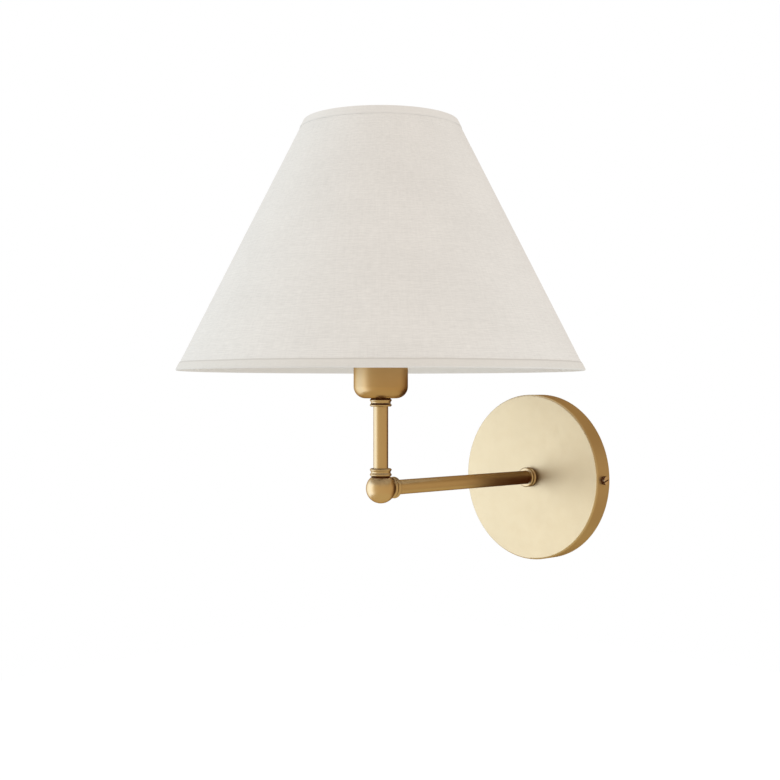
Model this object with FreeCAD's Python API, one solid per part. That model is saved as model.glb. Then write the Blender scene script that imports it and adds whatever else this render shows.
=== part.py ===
import FreeCAD, Part
import math
import os

# Wall sconce: round brass backplate, straight arm, ball elbow, upright stem, socket cup and a
# conical linen shade clamped on a threaded lampholder. Millimetres.
# The origin is the backplate's centre on the wall, -Y points into the room and +Z is up.

V = FreeCAD.Vector

# Fits
THREAD_FIT = 0.05       # radial play of a thread or a glued tube
SLIP_FIT = 0.15         # radial play of a part that is slipped over another
TURN_GAP = 0.30         # air between round parts that turn past each other
FACE_GAP = 0.10         # air between flat faces that turn on each other
GLUE = 0.05             # glue line in the shade's hems and in the lamp's cap
NEAR = 0.001            # how close an edge lies to the place where it is looked for

# Backplate
PLATE_R = 62.5
PLATE_DEPTH = 15.0
PLATE_WALL = 1.5
PLATE_EDGE_R = 1.2
RIM_HOLE_R = 3.0
RIM_HOLE_FROM_WALL = 7.0

# Wall bracket
STRAP = 2.0
STRAP_WIDTH = 16.0
STRAP_BEND_R = 2.0
TAB_CLEARANCE = 0.5
TAB_HEIGHT = 12.0
TAB_CORNER_R = 4.0
BOSS_R = 4.5
BOSS_LENGTH = 3.0
BRACKET_DISC_R = 23.0
CABLE_HOLE_R = 11.0
WALL_SLOT_SPACING = 60.0
WALL_SLOT_LENGTH = 12.0
WALL_SLOT_WIDTH = 4.5
TONGUE_WIDTH = 18.0
TONGUE_MARGIN = 2.0

# Set screws in the backplate's rim
SET_SCREW_R = 2.5
SET_SCREW_LENGTH = 8.0
SET_SCREW_RECESS = 0.8
SCREW_SLOT_WIDTH = 0.9
SCREW_SLOT_DEPTH = 1.0
SCREW_SLOT_TURN = 30.0

# Earth screw and ring tags
EARTH_SCREW_R = 2.0
EARTH_HEAD_R = 4.0
EARTH_HEAD = 2.4
EARTH_HEAD_EDGE_R = 1.2
EARTH_PLACE_R = 17.0
EARTH_PLACE_TURN = 120.0
TAG = 0.8
TAG_RING = 2.5
TAG_NECK_LENGTH = 3.0
CRIMP_WALL = 0.5
CRIMP_LENGTH = 5.0
NUT_TAG_TURN = 62.0     # direction of the tag under the nipple's nut
EARTH_TAG_TURN = 90.0   # direction of the tag under the earth screw
EARTH_LOOP = 20.0
EARTH_BEND_R = 5.0

# Terminal block
BLOCK_WIDTH = 18.0
BLOCK_HEIGHT = 17.0
BLOCK_DEPTH = 10.5
BLOCK_TOP_Z = -27.0
BLOCK_EDGE_R = 1.0
POLE_PITCH = 9.5
POLE_DEPTH = 5.0
BARREL_R = 2.4
BARREL_BORE_R = 1.5
BARREL_INSET = 1.0
CLAMP_PITCH = 8.0
CLAMP_SCREW_R = 1.6
CLAMP_INSET = 1.0
BLOCK_SCREW_R = 1.5
BLOCK_SCREW_HEAD_R = 2.75
BLOCK_SCREW_HEAD = 2.0

# Arm and stem
REACH = 175.0           # wall to stem axis
TUBE_R = 5.0
TUBE_WALL = 1.0
COLLAR_R = 7.375
COLLAR_LENGTH = 5.5
COLLAR_BASE_CREST = 1.3     # base end to the crest of the first bead
COLLAR_TUBE_CREST = 0.95    # tube end to the crest of the second bead
COLLAR_HOLLOW = 0.8         # depth of the hollow between the beads
COLLAR_BASE_FALL = 0.95     # how much smaller the base end is than the crests
COLLAR_TUBE_FALL = 0.7      # how much smaller the tube end is than the crests
COLLAR_SEAT = 1.5           # how far a tube sits in its collar
BALL_R = 10.0
BALL_FLAT = 8.0         # ball centre to the flats that carry the collars
NIPPLE_STOP = 4.5       # ball centre to the end of a nipple
NIPPLE_WALL = 1.2
NIPPLE_GRIP = 9.0       # nipple length inside a tube
NIPPLE_END = 0.8        # nipple length past its nut
WIRE_BORE_R = 3.0
NUT_SIDES = 6
NUT_FLATS = 13.0
NUT = 4.0
LOCK_WASHER_R = 7.0
LOCK_WASHER = 1.0
LOCK_WASHER_SPLIT = 1.2

# Socket cup
CUP_Z = 60.5            # arm axis to the underside of the cup
CUP_R = 18.25
CUP_HEIGHT = 34.0
CUP_WALL = 1.0
CUP_CORNER_R = 8.0

# Lampholder
HOLDER_CAP_HEIGHT = 17.5
HOLDER_CAP_WALL = 1.2
HOLDER_FLOOR = 4.5
HOLDER_FOOT_R = 10.0
HOLDER_CONE = 6.0
HOLDER_BOSS_R = 7.0
HOLDER_BOSS = 7.0
HOLDER_LEDGE = 1.8
INSERT_Z = 12.5         # cup floor to the underside of the insert
INSERT = 8.0
SKIRT_LAP = 7.0
SKIRT_WALL = 1.0
FLANGE_R = 21.0
FLANGE = 2.5
SKIRT_THREAD_R = 18.0
SKIRT_THREAD = 13.0
SKIRT_EDGE_R = 1.0
SHELL_WALL = 0.45
SHELL_LENGTH = 24.0
SHELL_LIP_R = 9.0
PILLAR_R = 3.0
PILLAR = 4.5
PILLAR_PLACE_R = 10.5
PILLAR_ROOF = 0.8
PILLAR_COVER = 1.15     # ceramic left above a pillar
PILLAR_SCREW_R = 1.5
RIVET_R = 1.25
CONTACT = 0.5
CONTACT_WIDTH = 5.0
CONTACT_FOOT = 2.5      # rivet to the bend of the strip
CONTACT_RISE = 3.2

# Wires
WIRE_R = 1.0
WIRE_SPREAD = 1.15      # wire axis to tube axis
ELBOW_BEND_R = 6.0
ENTRY_BEND_R = 3.3
FAN_BEND_R = 3.0
ENTRY_DEPTH = 3.4       # wall to the wires where they turn into the arm
ENTRY_RISE = 9.0        # straight rise of the wires before that turn
WIRE_SLACK = 6.75       # straight wire above the terminal block
WIRE_STRIP_IN = 7.0     # wire length inside a terminal barrel

# Shade
SHADE_BOTTOM_R = 136.4
SHADE_TOP_R = 51.9
SHADE_HEIGHT = 167.2
FITTER_RECESS = 18.2    # fitter seat above the shade's bottom edge
PANEL = 0.8
SEAM_WIDTH = 11.0
SEAM_TURN = 45.0        # direction of the seam, turned from the wall towards the left
HEM = 0.35
HEM_WIDTH = 6.3
HEM_EDGE_R = 0.6
HEM_RETURN = 3.6
RIM_WIRE_R = 1.2
FITTER = 1.5
FITTER_R = 27.0
FITTER_PLAY = 0.5
SPOKE_R = 1.3
SPOKE_COUNT = 3
SPOKE_TURN = 15.0
SPOKE_LEVEL_R = 42.0
SPOKE_BEND_R = 12.0

# Shade ring
RING_HEIGHT = 8.0
RING_R = 23.5
RING_FLANGE = 2.2
RING_COLLAR_R = 21.0
RING_RIB_COUNT = 24
RING_RIB_R = 0.7

# Lamp
LAMP_LENGTH = 105.0
LAMP_R = 30.0
LAMP_NECK_R = 13.4
LAMP_BLEND_R = 50.0
GLASS = 1.0
CAP_R = 13.1
CAP_WALL = 0.4
CAP_LENGTH = 26.0
CAP_FLARE_R = 14.0
CAP_FLARE = 2.0
CAP_TAPER_R = 11.5
CAP_TAPER = 2.0
TIP_R = 4.5
TIP = 1.5
INSULATOR = 3.5
LAMP_SPIGOT = 8.0

# Places that follow from the sizes above
PLATE_INNER_R = PLATE_R - PLATE_WALL
PLATE_INNER_Y = -(PLATE_DEPTH - PLATE_WALL)
NIPPLE_R = TUBE_R - TUBE_WALL - THREAD_FIT
NIPPLE_HOLE_R = NIPPLE_R + SLIP_FIT
TUBE_SEAT_R = TUBE_R + THREAD_FIT
ARM_COLLAR_Y = -REACH + BALL_FLAT
ARM_TUBE_START_Y = ARM_COLLAR_Y + COLLAR_LENGTH - COLLAR_SEAT
ARM_TUBE_END_Y = -PLATE_DEPTH - COLLAR_LENGTH + COLLAR_SEAT
STEM_TUBE_START_Z = BALL_FLAT + COLLAR_LENGTH - COLLAR_SEAT
STEM_TUBE_END_Z = CUP_Z - COLLAR_LENGTH + COLLAR_SEAT
TAB_X = math.sqrt(PLATE_INNER_R ** 2 - (STRAP_WIDTH / 2) ** 2) - TAB_CLEARANCE
NUT_TAG_Y = PLATE_INNER_Y + LOCK_WASHER
NUT_Y = NUT_TAG_Y + TAG
CRIMP_R = WIRE_R + THREAD_FIT + CRIMP_WALL
EARTH_HOLE_R = EARTH_SCREW_R + SLIP_FIT
POLE_Y = -STRAP - POLE_DEPTH
BLOCK_MIDDLE_Z = BLOCK_TOP_Z - BLOCK_HEIGHT / 2
CUP_INNER_R = CUP_R - CUP_WALL
CUP_FLOOR_Z = CUP_Z + CUP_WALL
CUP_TOP_Z = CUP_Z + CUP_HEIGHT
SKIRT_R = CUP_INNER_R - SLIP_FIT
LAP_BORE_R = SKIRT_R - SKIRT_WALL
HOLDER_CAP_R = LAP_BORE_R - THREAD_FIT
HOLDER_INNER_R = HOLDER_CAP_R - HOLDER_CAP_WALL
INSERT_R = HOLDER_INNER_R - SLIP_FIT
HOLDER_CAP_TOP_Z = CUP_FLOOR_Z + HOLDER_CAP_HEIGHT
INSERT_BOTTOM_Z = CUP_FLOOR_Z + INSERT_Z
INSERT_TOP_Z = INSERT_BOTTOM_Z + INSERT
SHELL_INNER_R = CAP_R + TURN_GAP
SHELL_R = SHELL_INNER_R + SHELL_WALL
SKIRT_BORE_R = SHELL_R + SLIP_FIT
FLANGE_TOP_Z = CUP_TOP_Z + FLANGE
SKIRT_TOP_Z = FLANGE_TOP_Z + SKIRT_THREAD
PILLAR_TOP_Z = INSERT_TOP_Z - PILLAR_COVER
PILLAR_BOTTOM_Z = PILLAR_TOP_Z - PILLAR
WIRE_END_Z = PILLAR_TOP_Z - PILLAR_ROOF - SLIP_FIT
FITTER_Z = FLANGE_TOP_Z + FACE_GAP
RING_Z = FITTER_Z + FITTER + FACE_GAP
SHADE_Z = FLANGE_TOP_Z - FITTER_RECESS
SHADE_TOP_Z = SHADE_Z + SHADE_HEIGHT
SHADE_SLOPE = (SHADE_BOTTOM_R - SHADE_TOP_R) / SHADE_HEIGHT
SHADE_LEAN = math.sqrt(1.0 + SHADE_SLOPE ** 2)
HEM_RISE = HEM_WIDTH / SHADE_LEAN
PANEL_OUT = HEM + GLUE
PANEL_IN = PANEL_OUT + PANEL
RIM_WIRE_DEPTH = PANEL_IN + GLUE + RIM_WIRE_R
HEM_BACK = RIM_WIRE_DEPTH + RIM_WIRE_R + GLUE
TIP_Z = INSERT_TOP_Z + CONTACT_RISE + CONTACT + TURN_GAP
CAP_TOP_Z = TIP_Z + CAP_LENGTH


# Outlines, turned shapes and bent rods

def flat(point):
    """A point of a turning profile: radius along X, height along Z."""
    return V(point[0], 0, point[1])


def line(start, end):
    return Part.LineSegment(start, end).toShape()


def chain(start, *steps):
    """Closed profile edges. A step is a point for a straight side, or (through, end) for an arc."""
    edges = []
    here = start
    for step in (*steps, start):
        if isinstance(step[0], tuple):
            through, end = step
            edges.append(Part.Arc(flat(here), flat(through), flat(end)).toShape())
        else:
            end = step
            edges.append(line(flat(here), flat(end)))
        here = end
    return edges


def bend(before, corner, after, radius):
    """Start, middle and end of the arc that rounds a corner between two straight runs."""
    back = (before - corner).normalize()
    ahead = (after - corner).normalize()
    half_turn = (math.pi - back.getAngle(ahead)) / 2
    setback = radius * math.tan(half_turn)
    inward = (back + ahead).normalize() * (radius / math.cos(half_turn) - radius)
    return corner + back * setback, corner + inward, corner + ahead * setback


def rounded(*corners):
    """Closed profile edges through (radius, height) corners; a third number rounds that corner."""
    points = [flat(corner) for corner in corners]
    ends = []
    for i, corner in enumerate(corners):
        if len(corner) == 3:
            before, after = points[i - 1], points[(i + 1) % len(points)]
            ends.append(bend(before, points[i], after, corner[2]))
        else:
            ends.append((points[i],))
    edges = []
    for i, end in enumerate(ends):
        if len(end) == 3:
            edges.append(Part.Arc(*end).toShape())
        edges.append(line(end[-1], ends[(i + 1) % len(ends)][0]))
    return edges


def turned(edges):
    """Solid of revolution of a closed profile about the Z axis."""
    solid = Part.Face(Part.Wire(edges)).revolve(V(0, 0, 0), V(0, 0, 1), 360)
    if solid.Volume < 0:
        solid.reverse()
    return solid


def bent_rod(points, bends, radius):
    """Round rod along straight runs joined by tangent arcs, one bend radius per inner point."""
    edges = []
    here = points[0]
    for i, radius_here in enumerate(bends, start=1):
        start, middle, end = bend(points[i - 1], points[i], points[i + 1], radius_here)
        edges.append(line(here, start))
        edges.append(Part.Arc(start, middle, end).toShape())
        here = end
    edges.append(line(here, points[-1]))
    section = Part.Wire(Part.makeCircle(radius, points[0], points[1] - points[0]))
    return Part.Wire(edges).makePipeShell([section], True, False)


def tube(outer_r, inner_r, length):
    return Part.makeCylinder(outer_r, length).cut(Part.makeCylinder(inner_r, length))


def on_stem(shape, z):
    """Stands a shape made on the Z axis on the stem's axis at height z."""
    return shape.translated(V(0, -REACH, z))


def to_wall(shape, y):
    """Lays a shape made along +Z on the arm's axis, pointing from y towards the wall."""
    return shape.rotated(V(0, 0, 0), V(1, 0, 0), -90).translated(V(0, y, 0))


def to_room(shape, y):
    """Lays a shape made along +Z on the arm's axis, pointing from y into the room."""
    return shape.rotated(V(0, 0, 0), V(1, 0, 0), 90).translated(V(0, y, 0))


# Backplate and its fixing

def backplate():
    """Spun cover: flat face, short rim, open towards the wall, with two screw holes in the rim."""
    cover = turned(rounded(
        (NIPPLE_HOLE_R, PLATE_DEPTH),
        (PLATE_R, PLATE_DEPTH, PLATE_EDGE_R),
        (PLATE_R, 0),
        (PLATE_INNER_R, 0),
        (PLATE_INNER_R, PLATE_DEPTH - PLATE_WALL),
        (NIPPLE_HOLE_R, PLATE_DEPTH - PLATE_WALL),
    ))
    hole = Part.makeCylinder(RIM_HOLE_R, 2 * PLATE_R, V(-PLATE_R, -RIM_HOLE_FROM_WALL, 0), V(1, 0, 0))
    return to_room(cover, 0).cut(hole)


def bracket_arm(side):
    """Half of the strap with its end tab bent into the room, square tab corners rounded off."""
    profile = rounded(
        (0, 0),
        (TAB_X, 0, STRAP_BEND_R + STRAP),
        (TAB_X, TAB_HEIGHT),
        (TAB_X - STRAP, TAB_HEIGHT),
        (TAB_X - STRAP, STRAP, STRAP_BEND_R),
        (0, STRAP),
    )
    arm = Part.Face(Part.Wire(profile)).extrude(V(0, STRAP_WIDTH, 0))
    arm = to_room(arm, 0).translated(V(0, 0, -STRAP_WIDTH / 2))
    tips = [e for e in arm.Edges if abs(e.CenterOfMass.y + TAB_HEIGHT) < NEAR
            and abs(abs(e.CenterOfMass.z) - STRAP_WIDTH / 2) < NEAR]
    arm = arm.makeFillet(TAB_CORNER_R, tips)
    boss = Part.makeCylinder(BOSS_R, BOSS_LENGTH, V(TAB_X - STRAP - BOSS_LENGTH, -RIM_HOLE_FROM_WALL, 0),
                             V(1, 0, 0))
    arm = arm.fuse(boss)
    return arm if side > 0 else arm.mirror(V(0, 0, 0), V(1, 0, 0))


def earth_place():
    """Where the earth screw stands on the bracket's disc."""
    turn = math.radians(EARTH_PLACE_TURN)
    return V(EARTH_PLACE_R * math.cos(turn), 0, EARTH_PLACE_R * math.sin(turn))


def wall_slot(x):
    """Slotted screw hole through the strap, centred at x and lying along the strap."""
    half = (WALL_SLOT_LENGTH - WALL_SLOT_WIDTH) / 2
    radius = WALL_SLOT_WIDTH / 2
    slot = Part.makeBox(2 * half, STRAP, WALL_SLOT_WIDTH, V(x - half, -STRAP, -radius))
    for end in (-half, half):
        slot = slot.fuse(Part.makeCylinder(radius, STRAP, V(x + end, -STRAP, 0), V(0, 1, 0)))
    return slot


def wall_bracket():
    """Strap with a centre disc, a tongue for the terminal block and two tapped end tabs."""
    tongue_length = -BLOCK_TOP_Z + BLOCK_HEIGHT + TONGUE_MARGIN
    plate = to_room(Part.makeCylinder(BRACKET_DISC_R, STRAP), 0)
    plate = plate.fuse(Part.makeBox(TONGUE_WIDTH, STRAP, tongue_length,
                                    V(-TONGUE_WIDTH / 2, -STRAP, -tongue_length)))
    for side in (1, -1):
        plate = plate.fuse(bracket_arm(side))
    plate = plate.cut(to_room(Part.makeCylinder(CABLE_HOLE_R, STRAP), 0))
    for side in (1, -1):
        plate = plate.cut(wall_slot(side * WALL_SLOT_SPACING / 2))
    plate = plate.cut(Part.makeCylinder(SET_SCREW_R + THREAD_FIT, 2 * TAB_X,
                                        V(-TAB_X, -RIM_HOLE_FROM_WALL, 0), V(1, 0, 0)))
    for place, radius in ((earth_place(), EARTH_SCREW_R), (V(0, 0, BLOCK_MIDDLE_Z), BLOCK_SCREW_R)):
        plate = plate.cut(Part.makeCylinder(radius + THREAD_FIT, STRAP, place, V(0, -1, 0)))
    return plate.removeSplitter()


def set_screw(side):
    """Headless slotted screw in a tab, its outer end standing in the backplate's rim hole."""
    outer_x = PLATE_R - SET_SCREW_RECESS
    screw = Part.makeCylinder(SET_SCREW_R, SET_SCREW_LENGTH)
    slot = Part.makeBox(SCREW_SLOT_WIDTH, 2 * SET_SCREW_R, SCREW_SLOT_DEPTH,
                        V(-SCREW_SLOT_WIDTH / 2, -SET_SCREW_R, SET_SCREW_LENGTH - SCREW_SLOT_DEPTH))
    screw = screw.cut(slot.rotated(V(0, 0, 0), V(0, 0, 1), SCREW_SLOT_TURN))
    screw = screw.rotated(V(0, 0, 0), V(0, 1, 0), 90)
    screw = screw.translated(V(outer_x - SET_SCREW_LENGTH, -RIM_HOLE_FROM_WALL, 0))
    return screw if side > 0 else screw.rotated(V(0, -RIM_HOLE_FROM_WALL, 0), V(0, 1, 0), 180)


def earth_screw():
    """Pan-head screw that clamps a ring tag to the bracket."""
    place = earth_place()
    shank = Part.makeCylinder(EARTH_SCREW_R, STRAP + TAG - FACE_GAP, place + V(0, -FACE_GAP, 0), V(0, -1, 0))
    head = Part.makeCylinder(EARTH_HEAD_R, EARTH_HEAD, place + V(0, -STRAP - TAG, 0), V(0, -1, 0))
    crown = [e for e in head.Edges if abs(e.CenterOfMass.y + STRAP + TAG + EARTH_HEAD) < NEAR]
    head = head.makeFillet(EARTH_HEAD_EDGE_R, crown)
    slot = Part.makeBox(2 * EARTH_HEAD_R, SCREW_SLOT_DEPTH, SCREW_SLOT_WIDTH,
                        place + V(-EARTH_HEAD_R, -STRAP - TAG - EARTH_HEAD, -SCREW_SLOT_WIDTH / 2))
    return shank.fuse(head).cut(slot).removeSplitter()


def ring_tag(hole_r, turn):
    """Flat ring with a neck and a crimp barrel; turn is the neck's angle about the hole."""
    neck_end = hole_r + TAG_RING + TAG_NECK_LENGTH
    ring = tube(hole_r + TAG_RING, hole_r, TAG)
    neck_start = hole_r + TAG_RING / 2
    neck = Part.makeBox(neck_end - neck_start, 2 * CRIMP_R, TAG, V(neck_start, -CRIMP_R, 0))
    crimp = tube(CRIMP_R, CRIMP_R - CRIMP_WALL, CRIMP_LENGTH).rotated(V(0, 0, 0), V(0, 1, 0), 90)
    crimp = crimp.translated(V(neck_end - CRIMP_WALL, 0, CRIMP_R))
    tag = ring.fuse(neck).fuse(crimp).removeSplitter()
    return tag.rotated(V(0, 0, 0), V(0, 0, 1), turn)


# Terminal block

def pole_xs():
    return (-POLE_PITCH / 2, POLE_PITCH / 2)


def clamp_zs():
    return (BLOCK_MIDDLE_Z - CLAMP_PITCH / 2, BLOCK_MIDDLE_Z + CLAMP_PITCH / 2)


def block_front_y():
    return -STRAP - BLOCK_DEPTH


def terminal_block():
    """Two-pole block: a barrel hole per pole, four screw wells and a sunk fixing hole."""
    front = block_front_y()
    block = Part.makeBox(BLOCK_WIDTH, BLOCK_DEPTH, BLOCK_HEIGHT,
                         V(-BLOCK_WIDTH / 2, front, BLOCK_TOP_Z - BLOCK_HEIGHT))
    front_edges = [e for e in block.Edges if abs(e.CenterOfMass.y - front) < NEAR]
    block = block.makeFillet(BLOCK_EDGE_R, front_edges)
    for x in pole_xs():
        block = block.cut(Part.makeCylinder(BARREL_R + THREAD_FIT, BLOCK_HEIGHT,
                                            V(x, POLE_Y, BLOCK_TOP_Z - BLOCK_HEIGHT)))
        for z in clamp_zs():
            block = block.cut(Part.makeCylinder(CLAMP_SCREW_R + SLIP_FIT, POLE_Y - front,
                                                V(x, POLE_Y, z), V(0, -1, 0)))
    middle = V(0, front, BLOCK_MIDDLE_Z)
    block = block.cut(Part.makeCylinder(BLOCK_SCREW_R + SLIP_FIT, BLOCK_DEPTH, middle, V(0, 1, 0)))
    return block.cut(Part.makeCylinder(BLOCK_SCREW_HEAD_R + SLIP_FIT, BLOCK_SCREW_HEAD, middle, V(0, 1, 0)))


def terminal_barrels():
    """Brass barrels of the two poles, each drilled for its two clamp screws."""
    barrels = []
    length = BLOCK_HEIGHT - 2 * BARREL_INSET
    for x in pole_xs():
        barrel = tube(BARREL_R, BARREL_BORE_R, length)
        barrel = barrel.translated(V(x, POLE_Y, BLOCK_TOP_Z - BLOCK_HEIGHT + BARREL_INSET))
        for z in clamp_zs():
            barrel = barrel.cut(Part.makeCylinder(CLAMP_SCREW_R + THREAD_FIT, BARREL_R,
                                                  V(x, POLE_Y, z), V(0, -1, 0)))
        barrels.append(barrel)
    return Part.makeCompound(barrels)


def wire_y():
    """Wires lie on the back of their barrels, pressed there by the clamp screws."""
    return POLE_Y + BARREL_BORE_R - WIRE_R - THREAD_FIT


def clamp_screws():
    """Four slotted screws that press the wires in the terminal barrels."""
    head_y = block_front_y() + CLAMP_INSET
    tip_y = wire_y() - WIRE_R - THREAD_FIT
    screws = []
    for x in pole_xs():
        for z in clamp_zs():
            screw = Part.makeCylinder(CLAMP_SCREW_R, tip_y - head_y, V(x, head_y, z), V(0, 1, 0))
            slot = Part.makeBox(2 * CLAMP_SCREW_R, SCREW_SLOT_DEPTH, SCREW_SLOT_WIDTH,
                                V(x - CLAMP_SCREW_R, head_y, z - SCREW_SLOT_WIDTH / 2))
            screws.append(screw.cut(slot))
    return Part.makeCompound(screws)


def block_screw():
    """Screw that holds the terminal block to the bracket's tongue."""
    front = block_front_y()
    head = Part.makeCylinder(BLOCK_SCREW_HEAD_R, BLOCK_SCREW_HEAD, V(0, front, BLOCK_MIDDLE_Z), V(0, 1, 0))
    shank = Part.makeCylinder(BLOCK_SCREW_R, -front - FACE_GAP, V(0, front, BLOCK_MIDDLE_Z), V(0, 1, 0))
    slot = Part.makeBox(2 * BLOCK_SCREW_HEAD_R, SCREW_SLOT_DEPTH, SCREW_SLOT_WIDTH,
                        V(-BLOCK_SCREW_HEAD_R, front, BLOCK_MIDDLE_Z - SCREW_SLOT_WIDTH / 2))
    return head.fuse(shank).cut(slot).removeSplitter()


# Arm, elbow and stem

def collar():
    """Turned collar: two beads with a hollow between them; its far end is bored out to seat a tube."""
    second_crest = COLLAR_LENGTH - COLLAR_TUBE_CREST
    slope = (second_crest - COLLAR_BASE_CREST) / 4
    slope_r = COLLAR_R - COLLAR_HOLLOW / 2
    middle = (COLLAR_BASE_CREST + second_crest) / 2
    return turned(chain(
        (NIPPLE_HOLE_R, 0),
        (COLLAR_R - COLLAR_BASE_FALL, 0),
        ((COLLAR_R, COLLAR_BASE_CREST), (slope_r, COLLAR_BASE_CREST + slope)),
        ((COLLAR_R - COLLAR_HOLLOW, middle), (slope_r, second_crest - slope)),
        ((COLLAR_R, second_crest), (COLLAR_R - COLLAR_TUBE_FALL, COLLAR_LENGTH)),
        (TUBE_SEAT_R, COLLAR_LENGTH),
        (TUBE_SEAT_R, COLLAR_LENGTH - COLLAR_SEAT),
        (NIPPLE_HOLE_R, COLLAR_LENGTH - COLLAR_SEAT),
    ))


def nipple(length):
    return tube(NIPPLE_R, NIPPLE_R - NIPPLE_WALL, length)


def hex_nut():
    """Six-sided nut for a nipple."""
    step = 2 * math.pi / NUT_SIDES
    corner_r = NUT_FLATS / 2 / math.cos(step / 2)
    corners = [V(corner_r * math.cos(i * step), corner_r * math.sin(i * step), 0) for i in range(NUT_SIDES)]
    body = Part.Face(Part.makePolygon(corners + corners[:1])).extrude(V(0, 0, NUT))
    return body.cut(Part.makeCylinder(NIPPLE_R + THREAD_FIT, NUT))


def lock_washer():
    """Split spring washer."""
    ring = tube(LOCK_WASHER_R, NIPPLE_HOLE_R, LOCK_WASHER)
    return ring.cut(Part.makeBox(LOCK_WASHER_R, LOCK_WASHER_SPLIT, LOCK_WASHER,
                                 V(0, -LOCK_WASHER_SPLIT / 2, 0)))


def elbow_ball():
    """Ball with a flat and a stepped bore towards the arm and another towards the stem."""
    ball = Part.makeSphere(BALL_R)
    for axis in (V(0, 1, 0), V(0, 0, 1)):
        ball = ball.cut(Part.makeCylinder(BALL_R, BALL_R, axis * BALL_FLAT, axis))
        ball = ball.cut(Part.makeCylinder(NIPPLE_R + THREAD_FIT, BALL_R, axis * NIPPLE_STOP, axis))
        ball = ball.cut(Part.makeCylinder(WIRE_BORE_R, BALL_R, V(0, 0, 0), axis))
    return on_stem(ball.cut(Part.makeSphere(WIRE_BORE_R)), 0)


def socket_cup():
    """Spun cup with a rounded foot that hides the lampholder."""
    return turned(rounded(
        (NIPPLE_HOLE_R, CUP_Z),
        (CUP_R, CUP_Z, CUP_CORNER_R),
        (CUP_R, CUP_TOP_Z),
        (CUP_INNER_R, CUP_TOP_Z),
        (CUP_INNER_R, CUP_FLOOR_Z, CUP_CORNER_R - CUP_WALL),
        (NIPPLE_HOLE_R, CUP_FLOOR_Z),
    ))


# Lampholder

def lampholder_cap():
    """Lower half of the lampholder: a tapped foot on the nipple and a ledge for the insert."""
    floor_z = CUP_FLOOR_Z + HOLDER_FLOOR
    ledge_r = HOLDER_INNER_R - HOLDER_LEDGE
    bore_r = NIPPLE_R + THREAD_FIT
    return turned(rounded(
        (bore_r, CUP_FLOOR_Z),
        (HOLDER_FOOT_R, CUP_FLOOR_Z),
        (HOLDER_CAP_R, CUP_FLOOR_Z + HOLDER_CONE),
        (HOLDER_CAP_R, HOLDER_CAP_TOP_Z),
        (HOLDER_INNER_R, HOLDER_CAP_TOP_Z),
        (HOLDER_INNER_R, INSERT_BOTTOM_Z),
        (ledge_r, INSERT_BOTTOM_Z),
        (ledge_r, floor_z + HOLDER_CONE / 2),
        (HOLDER_FOOT_R, floor_z),
        (HOLDER_BOSS_R, floor_z),
        (HOLDER_BOSS_R, CUP_FLOOR_Z + HOLDER_BOSS),
        (bore_r, CUP_FLOOR_Z + HOLDER_BOSS),
    ))


def pillar_sides():
    """The live pillar stands on the +X side and the neutral pillar on the -X side."""
    return (1, -1)


def lampholder_insert():
    """Ceramic disc with a well, a rivet hole and a screw hole for each terminal pillar."""
    disc = Part.makeCylinder(INSERT_R, INSERT, V(0, 0, INSERT_BOTTOM_Z))
    for side in pillar_sides():
        x = side * PILLAR_PLACE_R
        disc = disc.cut(Part.makeCylinder(PILLAR_R + THREAD_FIT, PILLAR_TOP_Z - INSERT_BOTTOM_Z,
                                          V(x, 0, INSERT_BOTTOM_Z)))
        disc = disc.cut(Part.makeCylinder(RIVET_R + THREAD_FIT, INSERT, V(x, 0, INSERT_BOTTOM_Z)))
        disc = disc.cut(Part.makeCylinder(PILLAR_SCREW_R + SLIP_FIT, INSERT_R,
                                          V(x, 0, pillar_screw_z()), V(side, 0, 0)))
    return disc


def pillar_screw_z():
    return PILLAR_BOTTOM_Z + PILLAR / 2


def holder_pillars():
    """Brass terminal pillars: a wire hole from below and a tapped hole from the side."""
    pillars = []
    for side in pillar_sides():
        x = side * PILLAR_PLACE_R
        pillar = Part.makeCylinder(PILLAR_R, PILLAR, V(x, 0, PILLAR_BOTTOM_Z))
        pillar = pillar.cut(Part.makeCylinder(WIRE_R + THREAD_FIT, PILLAR - PILLAR_ROOF,
                                              V(x, 0, PILLAR_BOTTOM_Z)))
        pillars.append(pillar.cut(Part.makeCylinder(PILLAR_SCREW_R + THREAD_FIT, PILLAR_R,
                                                    V(x, 0, pillar_screw_z()), V(side, 0, 0))))
    return Part.makeCompound(pillars)


def holder_screws():
    """Slotted screws that press the wires in the pillars."""
    tip = PILLAR_PLACE_R + WIRE_R + THREAD_FIT
    screws = []
    for side in pillar_sides():
        screw = Part.makeCylinder(PILLAR_SCREW_R, INSERT_R - tip, V(side * tip, 0, pillar_screw_z()),
                                  V(side, 0, 0))
        slot = Part.makeBox(2 * SCREW_SLOT_DEPTH, 2 * PILLAR_SCREW_R, SCREW_SLOT_WIDTH,
                            V(side * INSERT_R - SCREW_SLOT_DEPTH, -PILLAR_SCREW_R,
                              pillar_screw_z() - SCREW_SLOT_WIDTH / 2))
        screws.append(screw.cut(slot))
    return Part.makeCompound(screws)


def lampholder_skirt():
    """Upper half: screws over the cap, bears on the cup with a flange, carries the outside thread."""
    bottom_z = HOLDER_CAP_TOP_Z - SKIRT_LAP
    return turned(rounded(
        (LAP_BORE_R, bottom_z),
        (SKIRT_R, bottom_z),
        (SKIRT_R, CUP_TOP_Z),
        (FLANGE_R, CUP_TOP_Z),
        (FLANGE_R, FLANGE_TOP_Z),
        (SKIRT_THREAD_R, FLANGE_TOP_Z),
        (SKIRT_THREAD_R, SKIRT_TOP_Z, SKIRT_EDGE_R),
        (SKIRT_BORE_R, SKIRT_TOP_Z),
        (SKIRT_BORE_R, INSERT_TOP_Z + FACE_GAP),
        (LAP_BORE_R, INSERT_TOP_Z + FACE_GAP),
    ))


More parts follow.
